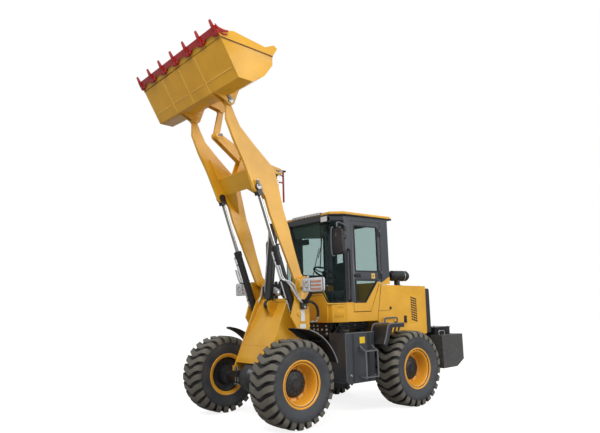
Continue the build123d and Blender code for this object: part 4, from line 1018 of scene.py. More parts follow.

# %% [markdown]
# ## Front mudguards
#
# A thin black crescent stands behind each front wheel. Its sheet follows the tyre, its inner side
# turns down as a lip, its front ends in a point, and its outer edge is rolled over a wire, drawn grey
# as a painted highlight.

# %% Front mudguards
guard_radius = high("front_fenders")[2] - wheel_radius - 0.013
guard_inner, guard_outer = 0.700, high("front_fenders")[1]
GUARD_STEPS, GUARD_SHEET = 60, 0.006
rolled_grey = rubber("rolled_grey", (128, 130, 134), 900, 0.42, 0.1)


def mudguard(side):
    """A section of sheet and lip at each angle, whose width and lip grow from the tip backwards."""
    angle = np.radians(np.linspace(95.5, 162.0, GUARD_STEPS))[:, None]
    share = np.linspace(0, 1, GUARD_STEPS)[:, None]
    wide = np.clip(share / 0.16, 0.12, 1) ** 0.6
    lip_depth = 0.012 + 0.062 * np.clip(share / 0.22, 0, 1) * np.clip((1 - share) / 0.25, 0.2, 1)
    flat = np.zeros_like(wide)
    outer, inner, crown = guard_inner + (guard_outer - guard_inner) * wide, guard_inner + flat, 0.012 * wide
    middle, turned_in = (outer + guard_inner) / 2, inner + GUARD_SHEET
    y = np.concatenate([outer, middle, inner, inner, turned_in, turned_in, middle, outer], axis=1)
    top = [flat + GUARD_SHEET, GUARD_SHEET + crown, flat + GUARD_SHEET, -lip_depth]
    radius = guard_radius + np.concatenate([*top, -lip_depth, flat, crown, flat], axis=1)
    x = axle_x["front"] + radius * np.cos(angle)
    z = wheel_radius + radius * np.sin(angle)
    points = np.stack([x, side * y, z], axis=-1).reshape(-1, 3)
    faces = grid_faces(GUARD_STEPS, 8, wrap_columns=True)
    faces += [list(range(8))[::-1], [GUARD_STEPS * 8 - 8 + k for k in range(8)]]
    return points, faces


for name, side in SIDES:
    made = piece(f"mudguard_{name}", mudguard(side), moulded, FRONT)
    # painted highlight: the grey tube along the outer edge stands for the light on the roll
    run, reach = np.radians(np.linspace(107.0, 162.0, 40)), guard_radius + 0.004
    edge_x, edge_z = axle_x["front"] + reach * np.cos(run), wheel_radius + reach * np.sin(run)
    rolled = [(x, side * (guard_outer - 0.002), z) for x, z in zip(edge_x, edge_z)]
    piece(f"mudguard_roll_{name}", tube(rolled, 0.0085, 10), rolled_grey, FRONT)
    stay = [(0.735, 0.552, 1.060), (0.735, 0.640, 1.060), (0.742, 0.720, 1.030), (0.742, 0.900, 1.028)]
    piece(f"mudguard_stay_{name}", tube(mirrored(stay, side), 0.016, 12), moulded, FRONT)
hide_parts("front_fenders")

# %% [markdown]
# ## Axles, chassis and running gear
#
# The chassis, axles, battery box, tow pin and rear grille under the machine are black enamel. The
# tanks are graphite, the cast counterweight a rough grey, and the engine block dark steel.

# %% Black nodes
for node in ("chassis", "front_axle", "rear_axle", "battery_box", "tow_pin"):
    softened(node, frame_black, 0.003)
for node in ("fuel_tank", "hydraulic_tank"):
    softened(node, cab_graphite, 0.006)
softened("counterweight", weight_grey, 0.008, 3)
softened("engine_block", dark_steel, 0.006)
softened("rear_grille", frame_black, 0.002)

# %% [markdown]
# ## Cylinders
#
# A barrel is black enamel with a gland collar, and its rod is hard chrome. The rod in the CAD carries
# its own eye, so the chrome is a thin sleeve over the straight part.

# %% Barrels and rods
for name, side in SIDES:
    softened(f"lift_barrel_{name}", frame_black, 0.002)
    softened(f"lift_rod_{name}", frame_black, 0.002)
softened("tilt_barrel", frame_black, 0.002)
softened("tilt_rod", frame_black, 0.002)


arm_middle = 0.4555
lift_base = joint_at("lift_barrel_left_pivot")
lift_eye = np.array([foot[0] + 0.7095, 0, foot[2] + 1.2416])
tilt_base = joint_at("tilt_barrel_pivot")
crank_rear = np.array([foot[0] + 0.006, 0, foot[2] + 1.623])


SLEEVE_RADIUS = 0.0243


def rod_sleeve(name, base, eye, y, start, end, body):
    """A chrome sleeve over a rod, between two distances from its barrel's pin."""
    base, eye = np.array([base[0], y, base[2]]), np.array([eye[0], y, eye[2]])
    way = (eye - base) / norm(eye - base)
    sleeve = tube([base + way * start, base + way * end], SLEEVE_RADIUS, 32)
    piece(name, sleeve, chrome_rod, body)


lift_length = norm(lift_eye[[0, 2]] - lift_base[[0, 2]])
tilt_length = norm(crank_rear[[0, 2]] - tilt_base[[0, 2]])
for name, side in SIDES:
    ends = 0.930, lift_length - 0.125
    rod_sleeve(f"lift_chrome_{name}", lift_base, lift_eye, side * arm_middle, *ends, f"lift_rod_{name}")
rod_sleeve("tilt_chrome", tilt_base, crank_rear, 0, 1.120, tilt_length - 0.04, "tilt_rod")
print("cylinder lengths", round(float(lift_length), 3), round(float(tilt_length), 3))

# %% [markdown]
# ## Cab and hood
#
# The cab's lower panels, its roof and the hood are yellow. Its pillars, rails and door frames are
# graphite, and the glass is tinted green.

# %% Panels and glass
for node in ("cab_base", "cab_roof", "engine_hood"):
    softened(node, yellow, 0.004)
for node in ("cab_frame", "door_left", "door_right"):
    softened(node, cab_graphite, 0.003)
for node in ("cab_glass", "door_glass_left", "door_glass_right"):
    softened(node, cab_window, 0.0)
softened("work_lights", moulded, 0.006)

# %% [markdown]
# ## Headlamps
#
# Each lamp is a pale moulded shell with a black rim and back. Both are the same moulding, with a
# clear reflector to the machine's right and a ribbed amber block to its left. A bent bracket
# carries each lamp from the tower's ear.

# %% Lamps on the tower
lamp_white = rubber("lamp_white", (214, 216, 218), 900, 0.34, 0.05)


lamp_low, lamp_high = low("headlamps"), high("headlamps")
lamp_face = lamp_high[0]
inner_y, outer_y = 0.612, lamp_high[1] + 0.026
z0, z1 = lamp_low[2], lamp_high[2]
LAMP_ROWS = 3


def lamp_layer(x0, x1, inset, corner, side):
    """A layer of the lamp between two places along x, drawn in from the lamp's outline."""
    near, far = (x0, inner_y + inset, z0 + inset), (x1, outer_y - inset, z1 - inset)
    return side_box(near, far, side, corner)


for name, side in SIDES:
    back = lamp_layer(lamp_low[0], lamp_low[0] + 0.03, 0.012, 0.02, side)
    piece(f"lamp_back_{name}", back, moulded, FRONT, 0.006)
    shell = lamp_layer(lamp_low[0] + 0.022, lamp_face - 0.014, 0.0, 0.030, side)
    case = piece(f"lamp_shell_{name}", shell, lamp_white, FRONT, 0.006)
    rim = lamp_layer(lamp_face - 0.030, lamp_face - 0.015, -0.001, 0.030, side)
    piece(f"lamp_rim_{name}", rim, moulded, FRONT, 0.002)
    front = lamp_layer(lamp_face - 0.024, lamp_face - 0.010, 0.010, 0.024, side)
    piece(f"lamp_front_{name}", front, lamp_white, FRONT, 0.004)
    middle_y = inner_y + 0.47 * (outer_y - inner_y)
    flip = (lambda y: y) if side > 0 else (lambda y: inner_y + outer_y - y)
    clear = side_box(
        (lamp_face - 0.016, flip(inner_y + 0.018), z0 + 0.018),
        (lamp_face - 0.004, flip(middle_y - 0.006), z1 - 0.018), side, 0.014,
    )
    piece(f"lamp_clear_{name}", clear, clear_lens, FRONT, 0.003)
    ticks = [
        side_box(
            (lamp_face - 0.008, flip(y), z0 + 0.030), (lamp_face - 0.0030, flip(y + 0.006), z1 - 0.030), side
        )
        for y in (inner_y + 0.040, inner_y + 0.090, inner_y + 0.128, middle_y - 0.012)
    ]
    piece(f"lamp_ticks_{name}", join(*ticks), dark_steel, FRONT)
    bulb = np.array([lamp_face - 0.010, side * flip(inner_y + 0.10), (z0 + z1) / 2])
    bowl = [(0.046, 0.0), (0.046, 0.006), (0.040, 0.010), (0.030, 0.005), (0.012, 0.002), (0.0, 0.004)]
    piece(f"lamp_bowl_{name}", turned(bowl, bulb, "X", 32, 1), chrome_rod, FRONT)
    pitch = (z1 - z0 - 0.044) / LAMP_ROWS
    bars, gaps = [], []
    bar_inner = flip(middle_y + 0.004)
    for row in range(LAMP_ROWS):
        bar_z = z0 + 0.022 + row * pitch
        bar = side_box(
            (lamp_face - 0.016, bar_inner, bar_z + 0.004),
            (lamp_face, flip(outer_y - 0.018), bar_z + pitch * 0.62), side, 0.004,
        )
        gap = side_box(
            (lamp_face - 0.016, bar_inner, bar_z), (lamp_face - 0.007, flip(outer_y - 0.016), bar_z + pitch),
            side,
        )
        bars.append(bar)
        gaps.append(gap)
    piece(f"lamp_amber_{name}", join(*bars), amber_lens, FRONT, 0.002)
    piece(f"lamp_amber_gaps_{name}", join(*gaps), clear_lens, FRONT)
    stalk = [
        (0.745, 0.745, z0 + 0.012), (0.742, 0.720, z0 - 0.030), (0.738, 0.650, z0 - 0.095),
        (0.736, 0.592, 1.530),
    ]
    piece(f"lamp_stalk_{name}", bent(stalk, 0.027, side, 6, 14), moulded, FRONT)
    clamp = side_box((0.690, 0.551, 1.435), (0.786, 0.594, 1.565), side, 0.016, "Y")
    piece(f"lamp_clamp_{name}", clamp, moulded, FRONT, 0.006)
    nuts = [(0.738, side * 0.594, z) for z in (1.462, 1.538)]
    piece(f"clamp_nuts_{name}", bolt_heads(nuts, "Y", 0.013, 0.016, side), bolt_steel, FRONT)
    loop = [
        (0.715, 0.580, 1.520), (0.640, 0.610, 1.530), (0.560, 0.620, 1.480), (0.520, 0.615, 1.390),
        (0.524, 0.602, 1.318),
    ]
    piece(f"ear_hose_{name}", bent(loop, 0.018, side, 8, 14), hose_rubber, FRONT)
    elbow = [(0.524, 0.602, 1.330), (0.526, 0.598, 1.282), (0.548, 0.588, 1.262), (0.604, 0.556, 1.258)]
    collar = mirrored([(0.524, 0.601, 1.326), (0.525, 0.600, 1.296)], side)
    nut = mirrored([(0.572, 0.575, 1.260), (0.596, 0.562, 1.259)], side)
    fitting = join(bent(elbow, 0.010, side, 6, 12), tube(collar, 0.0205, 14), tube(nut, 0.0175, 6))
    piece(f"ear_fitting_{name}", fitting, bolt_steel, FRONT)
    if side > 0:
        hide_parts("headlamps")
arms = [side_box((0.723, 0.552, 1.688), (0.747, 0.665, 1.734), side) for name, side in SIDES]
piece("lamp_arms", join(*arms), moulded, FRONT, 0.004)

# blank labels on the ears
pale_label = enamel("pale_label", (226, 228, 228), rough=0.3, dusty=0.05)
labels = []
for name, side in SIDES:
    labels.append(side_box((0.706, 0.5505, 1.275), (0.772, 0.5520, 1.428), side))
    labels.append(side_box((0.690, 0.5505, 1.180), (0.790, 0.5520, 1.238), side))
piece("ear_labels", join(*labels), pale_label, FRONT)

# %% [markdown]
# ## Pins and pipes of the boom
#
# Every pin shows a bright cap with a bolted keeper plate. Each cylinder carries a pipe along its
# barrel, and a level indicator stands beside the tilt cylinder.

# %% Pin caps
def pin_cap(name, place, y, side, radius, body, keeper=0.0):
    """A bright pin end standing out of its boss, with a keeper plate and a bolt beside it."""
    cap = [(0.0, 0.010), (radius * 0.7, 0.010), (radius * 0.95, 0.007), (radius, 0.0), (radius, -0.004)]
    centre = np.array([place[0], y, place[2]])
    shapes = [turned(cap, centre, "Y", 28, side)]
    if keeper:
        reach = np.array([math.cos(keeper), 0, math.sin(keeper)]) * radius * 1.9
        bar = [centre + np.array([0, side * 0.003, 0]), centre + np.array([0, side * 0.003, 0]) + reach]
        shapes.append(tube(bar, radius * 0.5, 8))
        shapes.append(bolt_heads([centre + reach + (0, side * 0.006, 0)], "Y", radius * 0.32, 0.010, side))
    return piece(name, join(*shapes), bolt_steel, body, 0.001)


for name, side in SIDES:
    pin_cap(f"lift_pin_{name}", foot, side * 0.565, side, 0.034, FRONT, 2.2)
    pin_cap(f"lift_eye_pin_{name}", lift_eye, side * 0.5125, side, 0.044, "boom", 1.2)
    pin_cap(f"bucket_pin_{name}", bucket_pin, side * 0.514, side, 0.040, "bucket", 0.9)
crank_pivot = joint_at("bell_crank_pivot")
crank_front = joint_at("bucket_link_pivot")
for name, side in SIDES:
    pin_cap(f"crank_pin_{name}", crank_pivot, side * 0.070, side, 0.030, "boom", 1.0)
    pin_cap(f"crank_front_pin_{name}", crank_front, side * 0.0485, side, 0.036, "bell_crank", 2.8)
    pin_cap(f"crank_rear_pin_{name}", crank_rear, side * 0.0485, side, 0.028, "bell_crank", 0.3)
print("pin caps done")

# %% Cylinder pipes and glands
def along_barrel(base, eye, y, run, out=0.0):
    """A point beside a cylinder: a run from its base pin, and a distance in front of its axis."""
    base2, eye2 = np.array([base[0], base[2]]), np.array([eye[0], eye[2]])
    way = (eye2 - base2) / norm(eye2 - base2)
    ahead = np.array([way[1], -way[0]])
    x, z = base2 + way * run + ahead * out
    return (x, y, z)


PIPE_SIDE = 0.004


def beside_lift(side, run, out=0.0, aside=0.0):
    """A point beside a lift cylinder: a run from its base pin, a distance in front, and one aside."""
    return along_barrel(lift_base, lift_eye, side * (arm_middle + aside), run, out)


lift_pipe = ((0.885, 0.050), (0.888, 0.072), (0.84, 0.074), (0.45, 0.070), (0.20, 0.070), (0.15, 0.058))
for name, side in SIDES:
    body = f"lift_barrel_{name}"
    gland = tube([beside_lift(side, run) for run in (0.905, 0.962)], 0.0555, 32)
    piece(f"lift_gland_{name}", gland, moulded, body, 0.002)
    ring = tube([beside_lift(side, run) for run in (0.958, 0.970)], 0.036, 28)
    piece(f"lift_wiper_{name}", ring, seal_rubber, body)
    pipe = [beside_lift(side, run, out, PIPE_SIDE) for run, out in lift_pipe]
    piece(f"lift_pipe_{name}", bent(pipe, 0.0095), hose_silver, body)
    clips = []
    for run in (0.78, 0.50, 0.24):
        clip = [beside_lift(side, run + shift) for shift in (-0.009, -0.008, 0.008, 0.009)]
        clips.append(tube(clip, [0.0465, 0.0505, 0.0505, 0.0465], 28, closed_ends=False))
        hook = [beside_lift(side, run + shift, 0.068, PIPE_SIDE) for shift in (-0.010, 0.010)]
        clips.append(tube(hook, 0.014, 10))
    piece(f"lift_clips_{name}", join(*clips), frame_black, body, 0.001)
    union = [beside_lift(side, run, 0.062, PIPE_SIDE) for run in (0.868, 0.905)]
    piece(f"lift_union_{name}", tube(union, 0.014, 6), bolt_steel, body)
tilt_gland = [along_barrel(tilt_base, crank_rear, 0, run) for run in (1.084, 1.085, 1.152, 1.153)]
gland_radii = [0.0650, 0.0665, 0.0665, 0.0275]
piece("tilt_gland", tube(tilt_gland, gland_radii, 32, closed_ends=False), moulded, "tilt_barrel")
tilt_pipe = [
    along_barrel(tilt_base, crank_rear, 0.0, run, out)
    for run, out in ((1.05, 0.060), (1.055, 0.082), (1.0, 0.084), (0.5, 0.080), (0.22, 0.080), (0.16, 0.066))
]
piece("tilt_pipe", bent(tilt_pipe, 0.0085), bolt_steel, "tilt_barrel")

# the level indicator: a dark red rod with a black head
softened("level_indicator", tooth_red, 0.001)
indicator_low, indicator_high = low("level_indicator"), high("level_indicator")
cap_low = (indicator_low[0] - 0.008, indicator_low[1] - 0.001, indicator_high[2] - 0.018)
cap_high = (indicator_low[0] + 0.108, indicator_high[1] + 0.001, indicator_high[2] + 0.004)
piece("level_head", box_shape(cap_low, cap_high), moulded, "tilt_rod", 0.002)
rod_x = indicator_low[0] + 0.030
rod_ends = [(rod_x, 0, indicator_low[2] - 0.004), (rod_x, 0, indicator_high[2] - 0.014)]
piece("level_sleeve", tube(rod_ends, 0.0145, 16), tooth_red, "tilt_rod")
clip_z = indicator_high[2] - 0.085
piece(
    "level_clip", tube([(rod_x + 0.010, 0, clip_z), (rod_x + 0.085, 0, clip_z + 0.028)], 0.008, 10), moulded,
    "tilt_rod",
)

# %% [markdown]
# ## Doors and windows
#
# Each door is a graphite frame with a yellow foot that follows the glass down its sloping rear edge.
# The glass sits in a black rubber seal, which is a flat band drawn round each opening.

# %% Door skins and seals
door_face = high("door_left")[1] - 0.023
HINGE_HEIGHTS = (1.860, 2.500)


def band_round(outline, width, low_y, high_y):
    """A flat band drawn round a closed outline of (x, z) points, outside it by a width."""
    outline = np.asarray(outline, float)
    centre = outline.mean(axis=0)
    count = len(outline)
    before = outline - np.roll(outline, 1, axis=0)
    after = np.roll(outline, -1, axis=0) - outline
    before /= norm(before, axis=1)[:, None]
    after /= norm(after, axis=1)[:, None]
    normal_a = np.stack([before[:, 1], -before[:, 0]], axis=-1)
    normal_b = np.stack([after[:, 1], -after[:, 0]], axis=-1)
    mitre = normal_a + normal_b
    mitre /= (1 + (normal_a * normal_b).sum(axis=1))[:, None]
    if ((outline + mitre * 0.01 - centre) ** 2).sum() < ((outline - centre) ** 2).sum():
        mitre = -mitre
    outside = outline + mitre * width
    rings = []
    for ring, y in ((outline, low_y), (outline, high_y), (outside, high_y), (outside, low_y)):
        rings.append(np.stack([ring[:, 0], np.full(count, y), ring[:, 1]], axis=-1))
    return np.concatenate(rings), grid_faces(4, count, True, True)


upper_light = [(-0.225, 1.956), (-0.225, 2.630), (-0.708, 2.630), (-0.708, 1.956)]
lower_light = [(-0.225, 1.509), (-0.225, 1.826), (-0.670, 1.826), (-0.630, 1.766), (-0.413, 1.509)]
door_foot = [
    (-0.166, 1.376), (-0.166, 1.497), (-0.408, 1.497), (-0.642, 1.776), (-0.642, 1.803), (-0.718, 1.803),
    (-0.511, 1.376),
]
for name, side in SIDES:
    body = f"cab_door_{name}"
    foot_skin = side_prism(door_foot, door_face + 0.0005, door_face + 0.0045, side)
    piece(f"door_foot_{name}", foot_skin, yellow, body, 0.0015)
    seals = [
        band_round(upper_light, -0.011, side * (door_face - 0.010), side * (door_face + 0.004)),
        band_round(lower_light, -0.011, side * (door_face - 0.010), side * (door_face + 0.006)),
        band_round(upper_light, 0.008, side * (door_face - 0.001), side * (door_face + 0.004)),
        band_round(lower_light, 0.010, side * (door_face - 0.001), side * (door_face + 0.006)),
    ]
    piece(f"door_seals_{name}", join(*seals), seal_rubber, body)
    # the latch: a recessed cup with a paddle, and a plain cream square beside it
    cup = side_box((-0.330, door_face - 0.001, 1.866), (-0.200, door_face + 0.004, 1.920), side, 0.012, "Y")
    paddle = side_box(
        (-0.318, door_face + 0.003, 1.884), (-0.224, door_face + 0.016, 1.904), side, 0.006, "Y"
    )
    knob_profile = [(0.0, 0.020), (0.014, 0.019), (0.018, 0.012), (0.018, 0.0)]
    knob = turned(knob_profile, (-0.214, side * door_face, 1.894), "Y", 20, side)
    piece(f"door_latch_{name}", join(cup, paddle, knob), seal_rubber, body, 0.002)
    square = side_box((-0.630, door_face, 1.852), (-0.556, door_face + 0.0015, 1.928), side)
    piece(f"door_square_{name}", square, panel_cream, body)
    spot = side_box((-0.604, door_face + 0.001, 1.880), (-0.580, door_face + 0.0025, 1.902), side)
    piece(f"door_square_spot_{name}", spot, seal_rubber, body)
    # two hinge leaves, and a stud at the top rail
    leaves = [
        side_box((-0.772, door_face, z - 0.012), (-0.712, door_face + 0.008, z + 0.112), side, 0.01, "Y")
        for z in HINGE_HEIGHTS
    ]
    piece(f"door_leaves_{name}", join(*leaves), seal_rubber, body, 0.002)
    studs = [
        (x, side * (door_face + 0.0075), z + dz)
        for z in HINGE_HEIGHTS
        for x in (-0.752, -0.728)
        for dz in (0.012, 0.088)
    ]
    piece(f"door_studs_{name}", bolt_heads(studs, "Y", 0.005, 0.004, side), dark_steel, body)
    pin_profile = [(0.0, 0.010), (0.009, 0.008), (0.010, 0.0)]
    pin = turned(pin_profile, (-0.46, side * door_face, 2.655), "Y", 16, side)
    piece(f"door_stud_{name}", pin, dark_steel, body)

# %% Pillars, rails and fixed glass seals
for name, side in SIDES:
    # the grab tube beside the door: two feet and a long upright
    tube_path = [
        (-0.080, 0.616, 1.520), (-0.080, 0.650, 1.545), (-0.080, 0.656, 1.600), (-0.084, 0.656, 2.180),
        (-0.088, 0.650, 2.245), (-0.088, 0.616, 2.270),
    ]
    piece(f"pillar_grab_{name}", bent(tube_path, 0.0155, side, 6, 14), moulded, REAR)
    # black seals of the slanting corner glass, top and bottom, and of the windscreen
    seal = [
        [(-0.010, 0.619, 1.516), (0.158, 0.505, 1.516)],
        [(0.158, 0.505, 2.690), (-0.010, 0.619, 2.690), (-0.010, 0.619, 1.516)],
    ]
    steps = [mirrored(ends, side) for path in seal for ends in zip(path, path[1:])]
    piece(f"corner_seal_{name}", join(*[tube(step, 0.0095, 8) for step in steps]), seal_rubber, REAR)
    front = mirrored([(0.204, 0.462, 1.520), (0.204, 0.360, 1.655), (0.204, 0.0, 1.655)], side)
    steps = [tube([a, b], 0.0085, 8) for a, b in zip(front, front[1:])]
    top = tube(mirrored([(0.204, 0.462, 2.690), (0.204, 0.0, 2.690)], side), 0.0085, 8)
    piece(f"screen_seal_{name}", join(*steps, top), seal_rubber, REAR)
    # the thin joints where the windscreen turns the corner
    joints_up = [
        tube(mirrored([(x, y, 1.520), (x, y, 2.690)], side), 0.0035, 6)
        for x, y in ((0.158, 0.503), (0.2035, 0.4630))
    ]
    piece(f"corner_joints_{name}", join(*joints_up), seal_rubber, REAR)
print("window seals done")

# %% Yellow strip, pressed panel and seams on the cab's side
def panel_point(share, out, side):
    """A point on the slanting corner panel: a share of its width from the door, and out from it."""
    a, b = np.array([-0.012, 0.615]), np.array([0.157, 0.496])
    way = b - a
    normal = np.array([-way[1], way[0]]) / norm(way)
    normal = normal if normal[1] > 0 else -normal
    x, y = a + way * share + normal * out
    return x, side * y


for name, side in SIDES:
    strip = side_box((-0.158, 0.6145, 1.236), (-0.014, 0.6195, 1.505), side, 0.006, "Y")
    piece(f"pillar_foot_{name}", strip, yellow, REAR, 0.002)
    points = []
    for out, drawn_in in ((0.0003, 0), (0.0052, 1)):
        for share, z in ((0.16, 1.30), (0.86, 1.30), (0.62, 1.405), (0.16, 1.405)):
            x, y = panel_point(share + drawn_in * math.copysign(0.012, 0.5 - share), out, side)
            points.append((x, y, z - drawn_in * math.copysign(0.010, z - 1.35)))
    faces = [[0, 1, 5, 4], [1, 2, 6, 5], [2, 3, 7, 6], [3, 0, 4, 7], [4, 5, 6, 7], [3, 2, 1, 0]]
    piece(f"corner_pressing_{name}", (points, faces), yellow, REAR, 0.002)
    slit = [(*panel_point(share, 0.001, side), 1.445) for share in (0.20, 0.62)]
    piece(f"corner_slit_{name}", tube(slit, 0.0022, 6), seal_rubber, REAR)
    # the waist fold is a pale tube: a painted highlight along the panel's top edge
    fold = [
        (-0.012, 0.6165, 1.494), (0.159, 0.5035, 1.494), (0.2045, 0.464, 1.494), (0.2055, 0.365, 1.636),
        (0.2055, 0.0, 1.636),
    ]
    folds = [tube(mirrored([a, b], side), 0.007, 8) for a, b in zip(fold, fold[1:])]
    piece(f"waist_fold_{name}", join(*folds), weld_yellow, REAR)
    # seams: dark lines where panels meet
    seams = [
        [(-0.510, 0.6162, 1.369), (-0.170, 0.6162, 1.369)],
        [(-0.644, 0.6162, 1.234), (-0.752, 0.6162, 1.764)],
        [(-0.646, 0.6162, 1.3720), (-0.930, 0.6162, 1.380)],
    ]
    lines = [tube(mirrored(line, side), 0.0022, 6) for line in seams]
    piece(f"panel_seams_{name}", join(*lines), seal_rubber, REAR)

# %% [markdown]
# ## Inside the cab
#
# The seat is a sprung base with two padded cushions. A cushion is a closed, crowned form: a grid
# wrapped like a globe whose powers make it square with round corners, with sewn channels pressed
# into its face and a cord of piping round its rim.

# %% Seat cushions
seat_low, seat_high = low("seat"), high("seat")
seat_rear, seat_front = seat_low[0], seat_high[0]
seat_cloth = rubber("seat_cloth", (58, 60, 64), 1200, 0.85, 0.12)
piping_cloth = rubber("piping_cloth", (30, 31, 33), 1500, 0.8, 0.05)


def cushion(half, crown, channels, rows=48, columns=96, corner=0.28):
    """A padded box: half size x signed powers of a globe's sines and cosines, crowned and channelled."""

    def power(value, exponent):
        return np.sign(value) * np.abs(value) ** exponent

    up = np.linspace(-np.pi / 2, np.pi / 2, rows)[:, None]
    round_way = full_turn(columns)[None, :]
    x = half[0] * power(np.cos(up), corner) * power(np.cos(round_way), corner)
    y = half[1] * power(np.cos(up), corner) * power(np.sin(round_way), corner)
    z = half[2] * power(np.sin(up), 0.6) * np.ones_like(round_way)
    middle = np.clip(1 - (x / half[0]) ** 2, 0, 1) * np.clip(1 - (y / half[1]) ** 2, 0, 1)
    z = z + np.where(z > 0, crown * middle, 0)
    for place in channels:
        z = z - np.where(z > 0, 0.010 * np.exp(-(((x - place) / 0.008) ** 2)), 0)
    points = np.stack([x, y, z], axis=-1).reshape(-1, 3)
    faces = grid_faces(rows, columns, wrap_columns=True)
    return points, faces


def set_on(shape, origin, lean):
    """A shape turned about the level axis across the machine by a lean, and moved to its place."""
    points, faces = shape
    c, s = math.cos(lean), math.sin(lean)
    turn = np.array([[c, 0, s], [0, 1, 0], [-s, 0, c]])
    return points @ turn.T + np.asarray(origin, float), faces


def rim_cord(half, height, steps=72, corner=0.28):
    """Piping round a cushion: the rim of the same rounded rectangle at one height."""
    angle = np.linspace(0, 2 * np.pi, steps)
    x = half[0] * np.sign(np.cos(angle)) * np.abs(np.cos(angle)) ** corner
    y = half[1] * np.sign(np.sin(angle)) * np.abs(np.sin(angle)) ** corner
    return tube(np.stack([x, y, np.full_like(x, height)], axis=-1), 0.005, 8)


base_top = seat_low[2] + 0.300
pad_half = (0.225, 0.235, 0.055)
pad_place = (seat_front - 0.235, 0, base_top + 0.062)
pad = piece(
    "seat_pad", set_on(cushion(pad_half, 0.022, (-0.09, 0.0, 0.09)), pad_place, 0.05), seat_cloth, REAR
)
back_half = (0.235, 0.205, 0.050)
back_place = (seat_rear + 0.098, 0, (base_top + seat_high[2]) / 2 + 0.035)
back = piece(
    "seat_back", set_on(cushion(back_half, 0.020, (-0.11, -0.02, 0.07)), back_place, 1.40), seat_cloth, REAR
)
cords = [
    set_on(rim_cord(pad_half, 0.014), pad_place, 0.05), set_on(rim_cord(back_half, 0.012), back_place, 1.40)
]
piece("seat_piping", join(*cords), piping_cloth, REAR)
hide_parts("seat")

# %% Seat base and controls
bellows = []
for index in range(5):
    z = seat_low[2] + 0.045 + index * 0.046
    bellows.append(
        rounded_box((seat_rear + 0.150, -0.150, z), (seat_front - 0.110, 0.150, z + 0.034), 0.03, "Z")
    )
    bellows.append(
        rounded_box(
            (seat_rear + 0.166, -0.134, z + 0.030), (seat_front - 0.126, 0.134, z + 0.050), 0.03, "Z"
        )
    )
piece("seat_bellows", join(*bellows), seal_rubber, REAR, 0.004)
frame_parts = [
    box_shape((seat_rear + 0.110, -0.170, seat_low[2]), (seat_front - 0.090, 0.170, seat_low[2] + 0.045))
]
frame_parts.append(
    box_shape((seat_rear + 0.120, -0.200, base_top - 0.028), (seat_front - 0.030, 0.200, base_top + 0.004))
)
for side in (1, -1):
    rest = [
        (seat_rear + 0.10, 0.232, base_top + 0.05), (seat_rear + 0.10, 0.240, base_top + 0.20),
        (seat_rear + 0.16, 0.242, base_top + 0.235),
    ]
    frame_parts.append(bent(rest, 0.012, side))
piece("seat_frame", join(*frame_parts), frame_black, REAR, 0.003)
rests = [
    side_box(
        (seat_rear + 0.09, 0.212, base_top + 0.232), (seat_rear + 0.40, 0.262, base_top + 0.268), side, 0.02,
        "Z",
    )
    for side in (1, -1)
]
piece("arm_rests", join(*rests), moulded, REAR, 0.010, segments=3)

wheel_place = np.array([-0.165, 0.0, 1.968])
wheel_lean = 0.50
ring = [(0.172 + 0.0135 * math.cos(a), 0.0135 * math.sin(a)) for a in np.linspace(0, 2 * np.pi, 13)]
boss = [(0, 0.016), (0.036, 0.012), (0.046, -0.002), (0.040, -0.020), (0, -0.026)]
wheel_shapes = [turned(ring, (0, 0, 0), "Z", 64), turned(boss, (0, 0, 0), "Z", 32)]
for angle in (0.5 * np.pi, 1.17 * np.pi, 1.83 * np.pi):
    reaches = ((0.03, -0.006), (0.10, -0.014), (0.170, 0.0))
    spoke = [(reach * math.cos(angle), reach * math.sin(angle), z) for reach, z in reaches]
    wheel_shapes.append(bent(spoke, 0.009, 1, 5, 8))
wheel_knob_profile = [(0, 0.050), (0.016, 0.046), (0.020, 0.034), (0.012, 0.018), (0.010, 0.0)]
wheel_knob = turned(wheel_knob_profile, (0.10, 0.14, 0.010), "Z", 20)
made = piece(
    "steering_wheel", set_on(join(*wheel_shapes, wheel_knob), wheel_place, -wheel_lean), moulded, REAR
)
neck_way = np.array([math.sin(wheel_lean), 0, -math.cos(wheel_lean)])
neck = tube([wheel_place + neck_way * 0.02, wheel_place + neck_way * 0.20], 0.024, 16)
boot = tube(
    [wheel_place + neck_way * 0.12, wheel_place + neck_way * 0.16, wheel_place + neck_way * 0.24],
    [0.034, 0.050, 0.064], 18,
)
piece("steering_neck", join(neck, boot), seal_rubber, REAR)
console_side = [
    (0.092, 1.275), (-0.030, 1.275), (-0.088, 1.770), (-0.150, 1.830), (-0.130, 1.872), (-0.020, 1.885),
    (0.030, 1.840),
]
piece("console", prism(console_side, -0.125, 0.125), dash_plastic, REAR, 0.014, segments=3)
dial = turned([(0.0, 0.003), (0.026, 0.003), (0.030, 0.005), (0.032, 0.0)], (0, 0, 0), "Z", 28)
dial_lean = math.atan2(0.060, 0.062)
for index in range(3):
    place = np.array([-0.1205, -0.075 + 0.075 * index, 1.8035])
    piece(f"dial_{index}", set_on(dial, place, -(np.pi / 2 - dial_lean)), seal_rubber, REAR)
pedals = []
for y in (-0.200, -0.125, 0.150):
    pedals.append(box_shape((-0.060, y - 0.032, 1.330), (-0.040, y + 0.032, 1.420)))
    pedals.append(tube([(-0.045, y, 1.370), (0.020, y, 1.330), (0.050, y, 1.275)], 0.008, 8))
piece("pedals", join(*pedals), dark_steel, REAR, 0.003)
beside_seat = rounded_box((-0.560, -0.440, 1.275), (-0.170, -0.300, 1.700), 0.03, "Y")
piece("side_console", beside_seat, dash_plastic, REAR, 0.012, segments=3)
levers = []
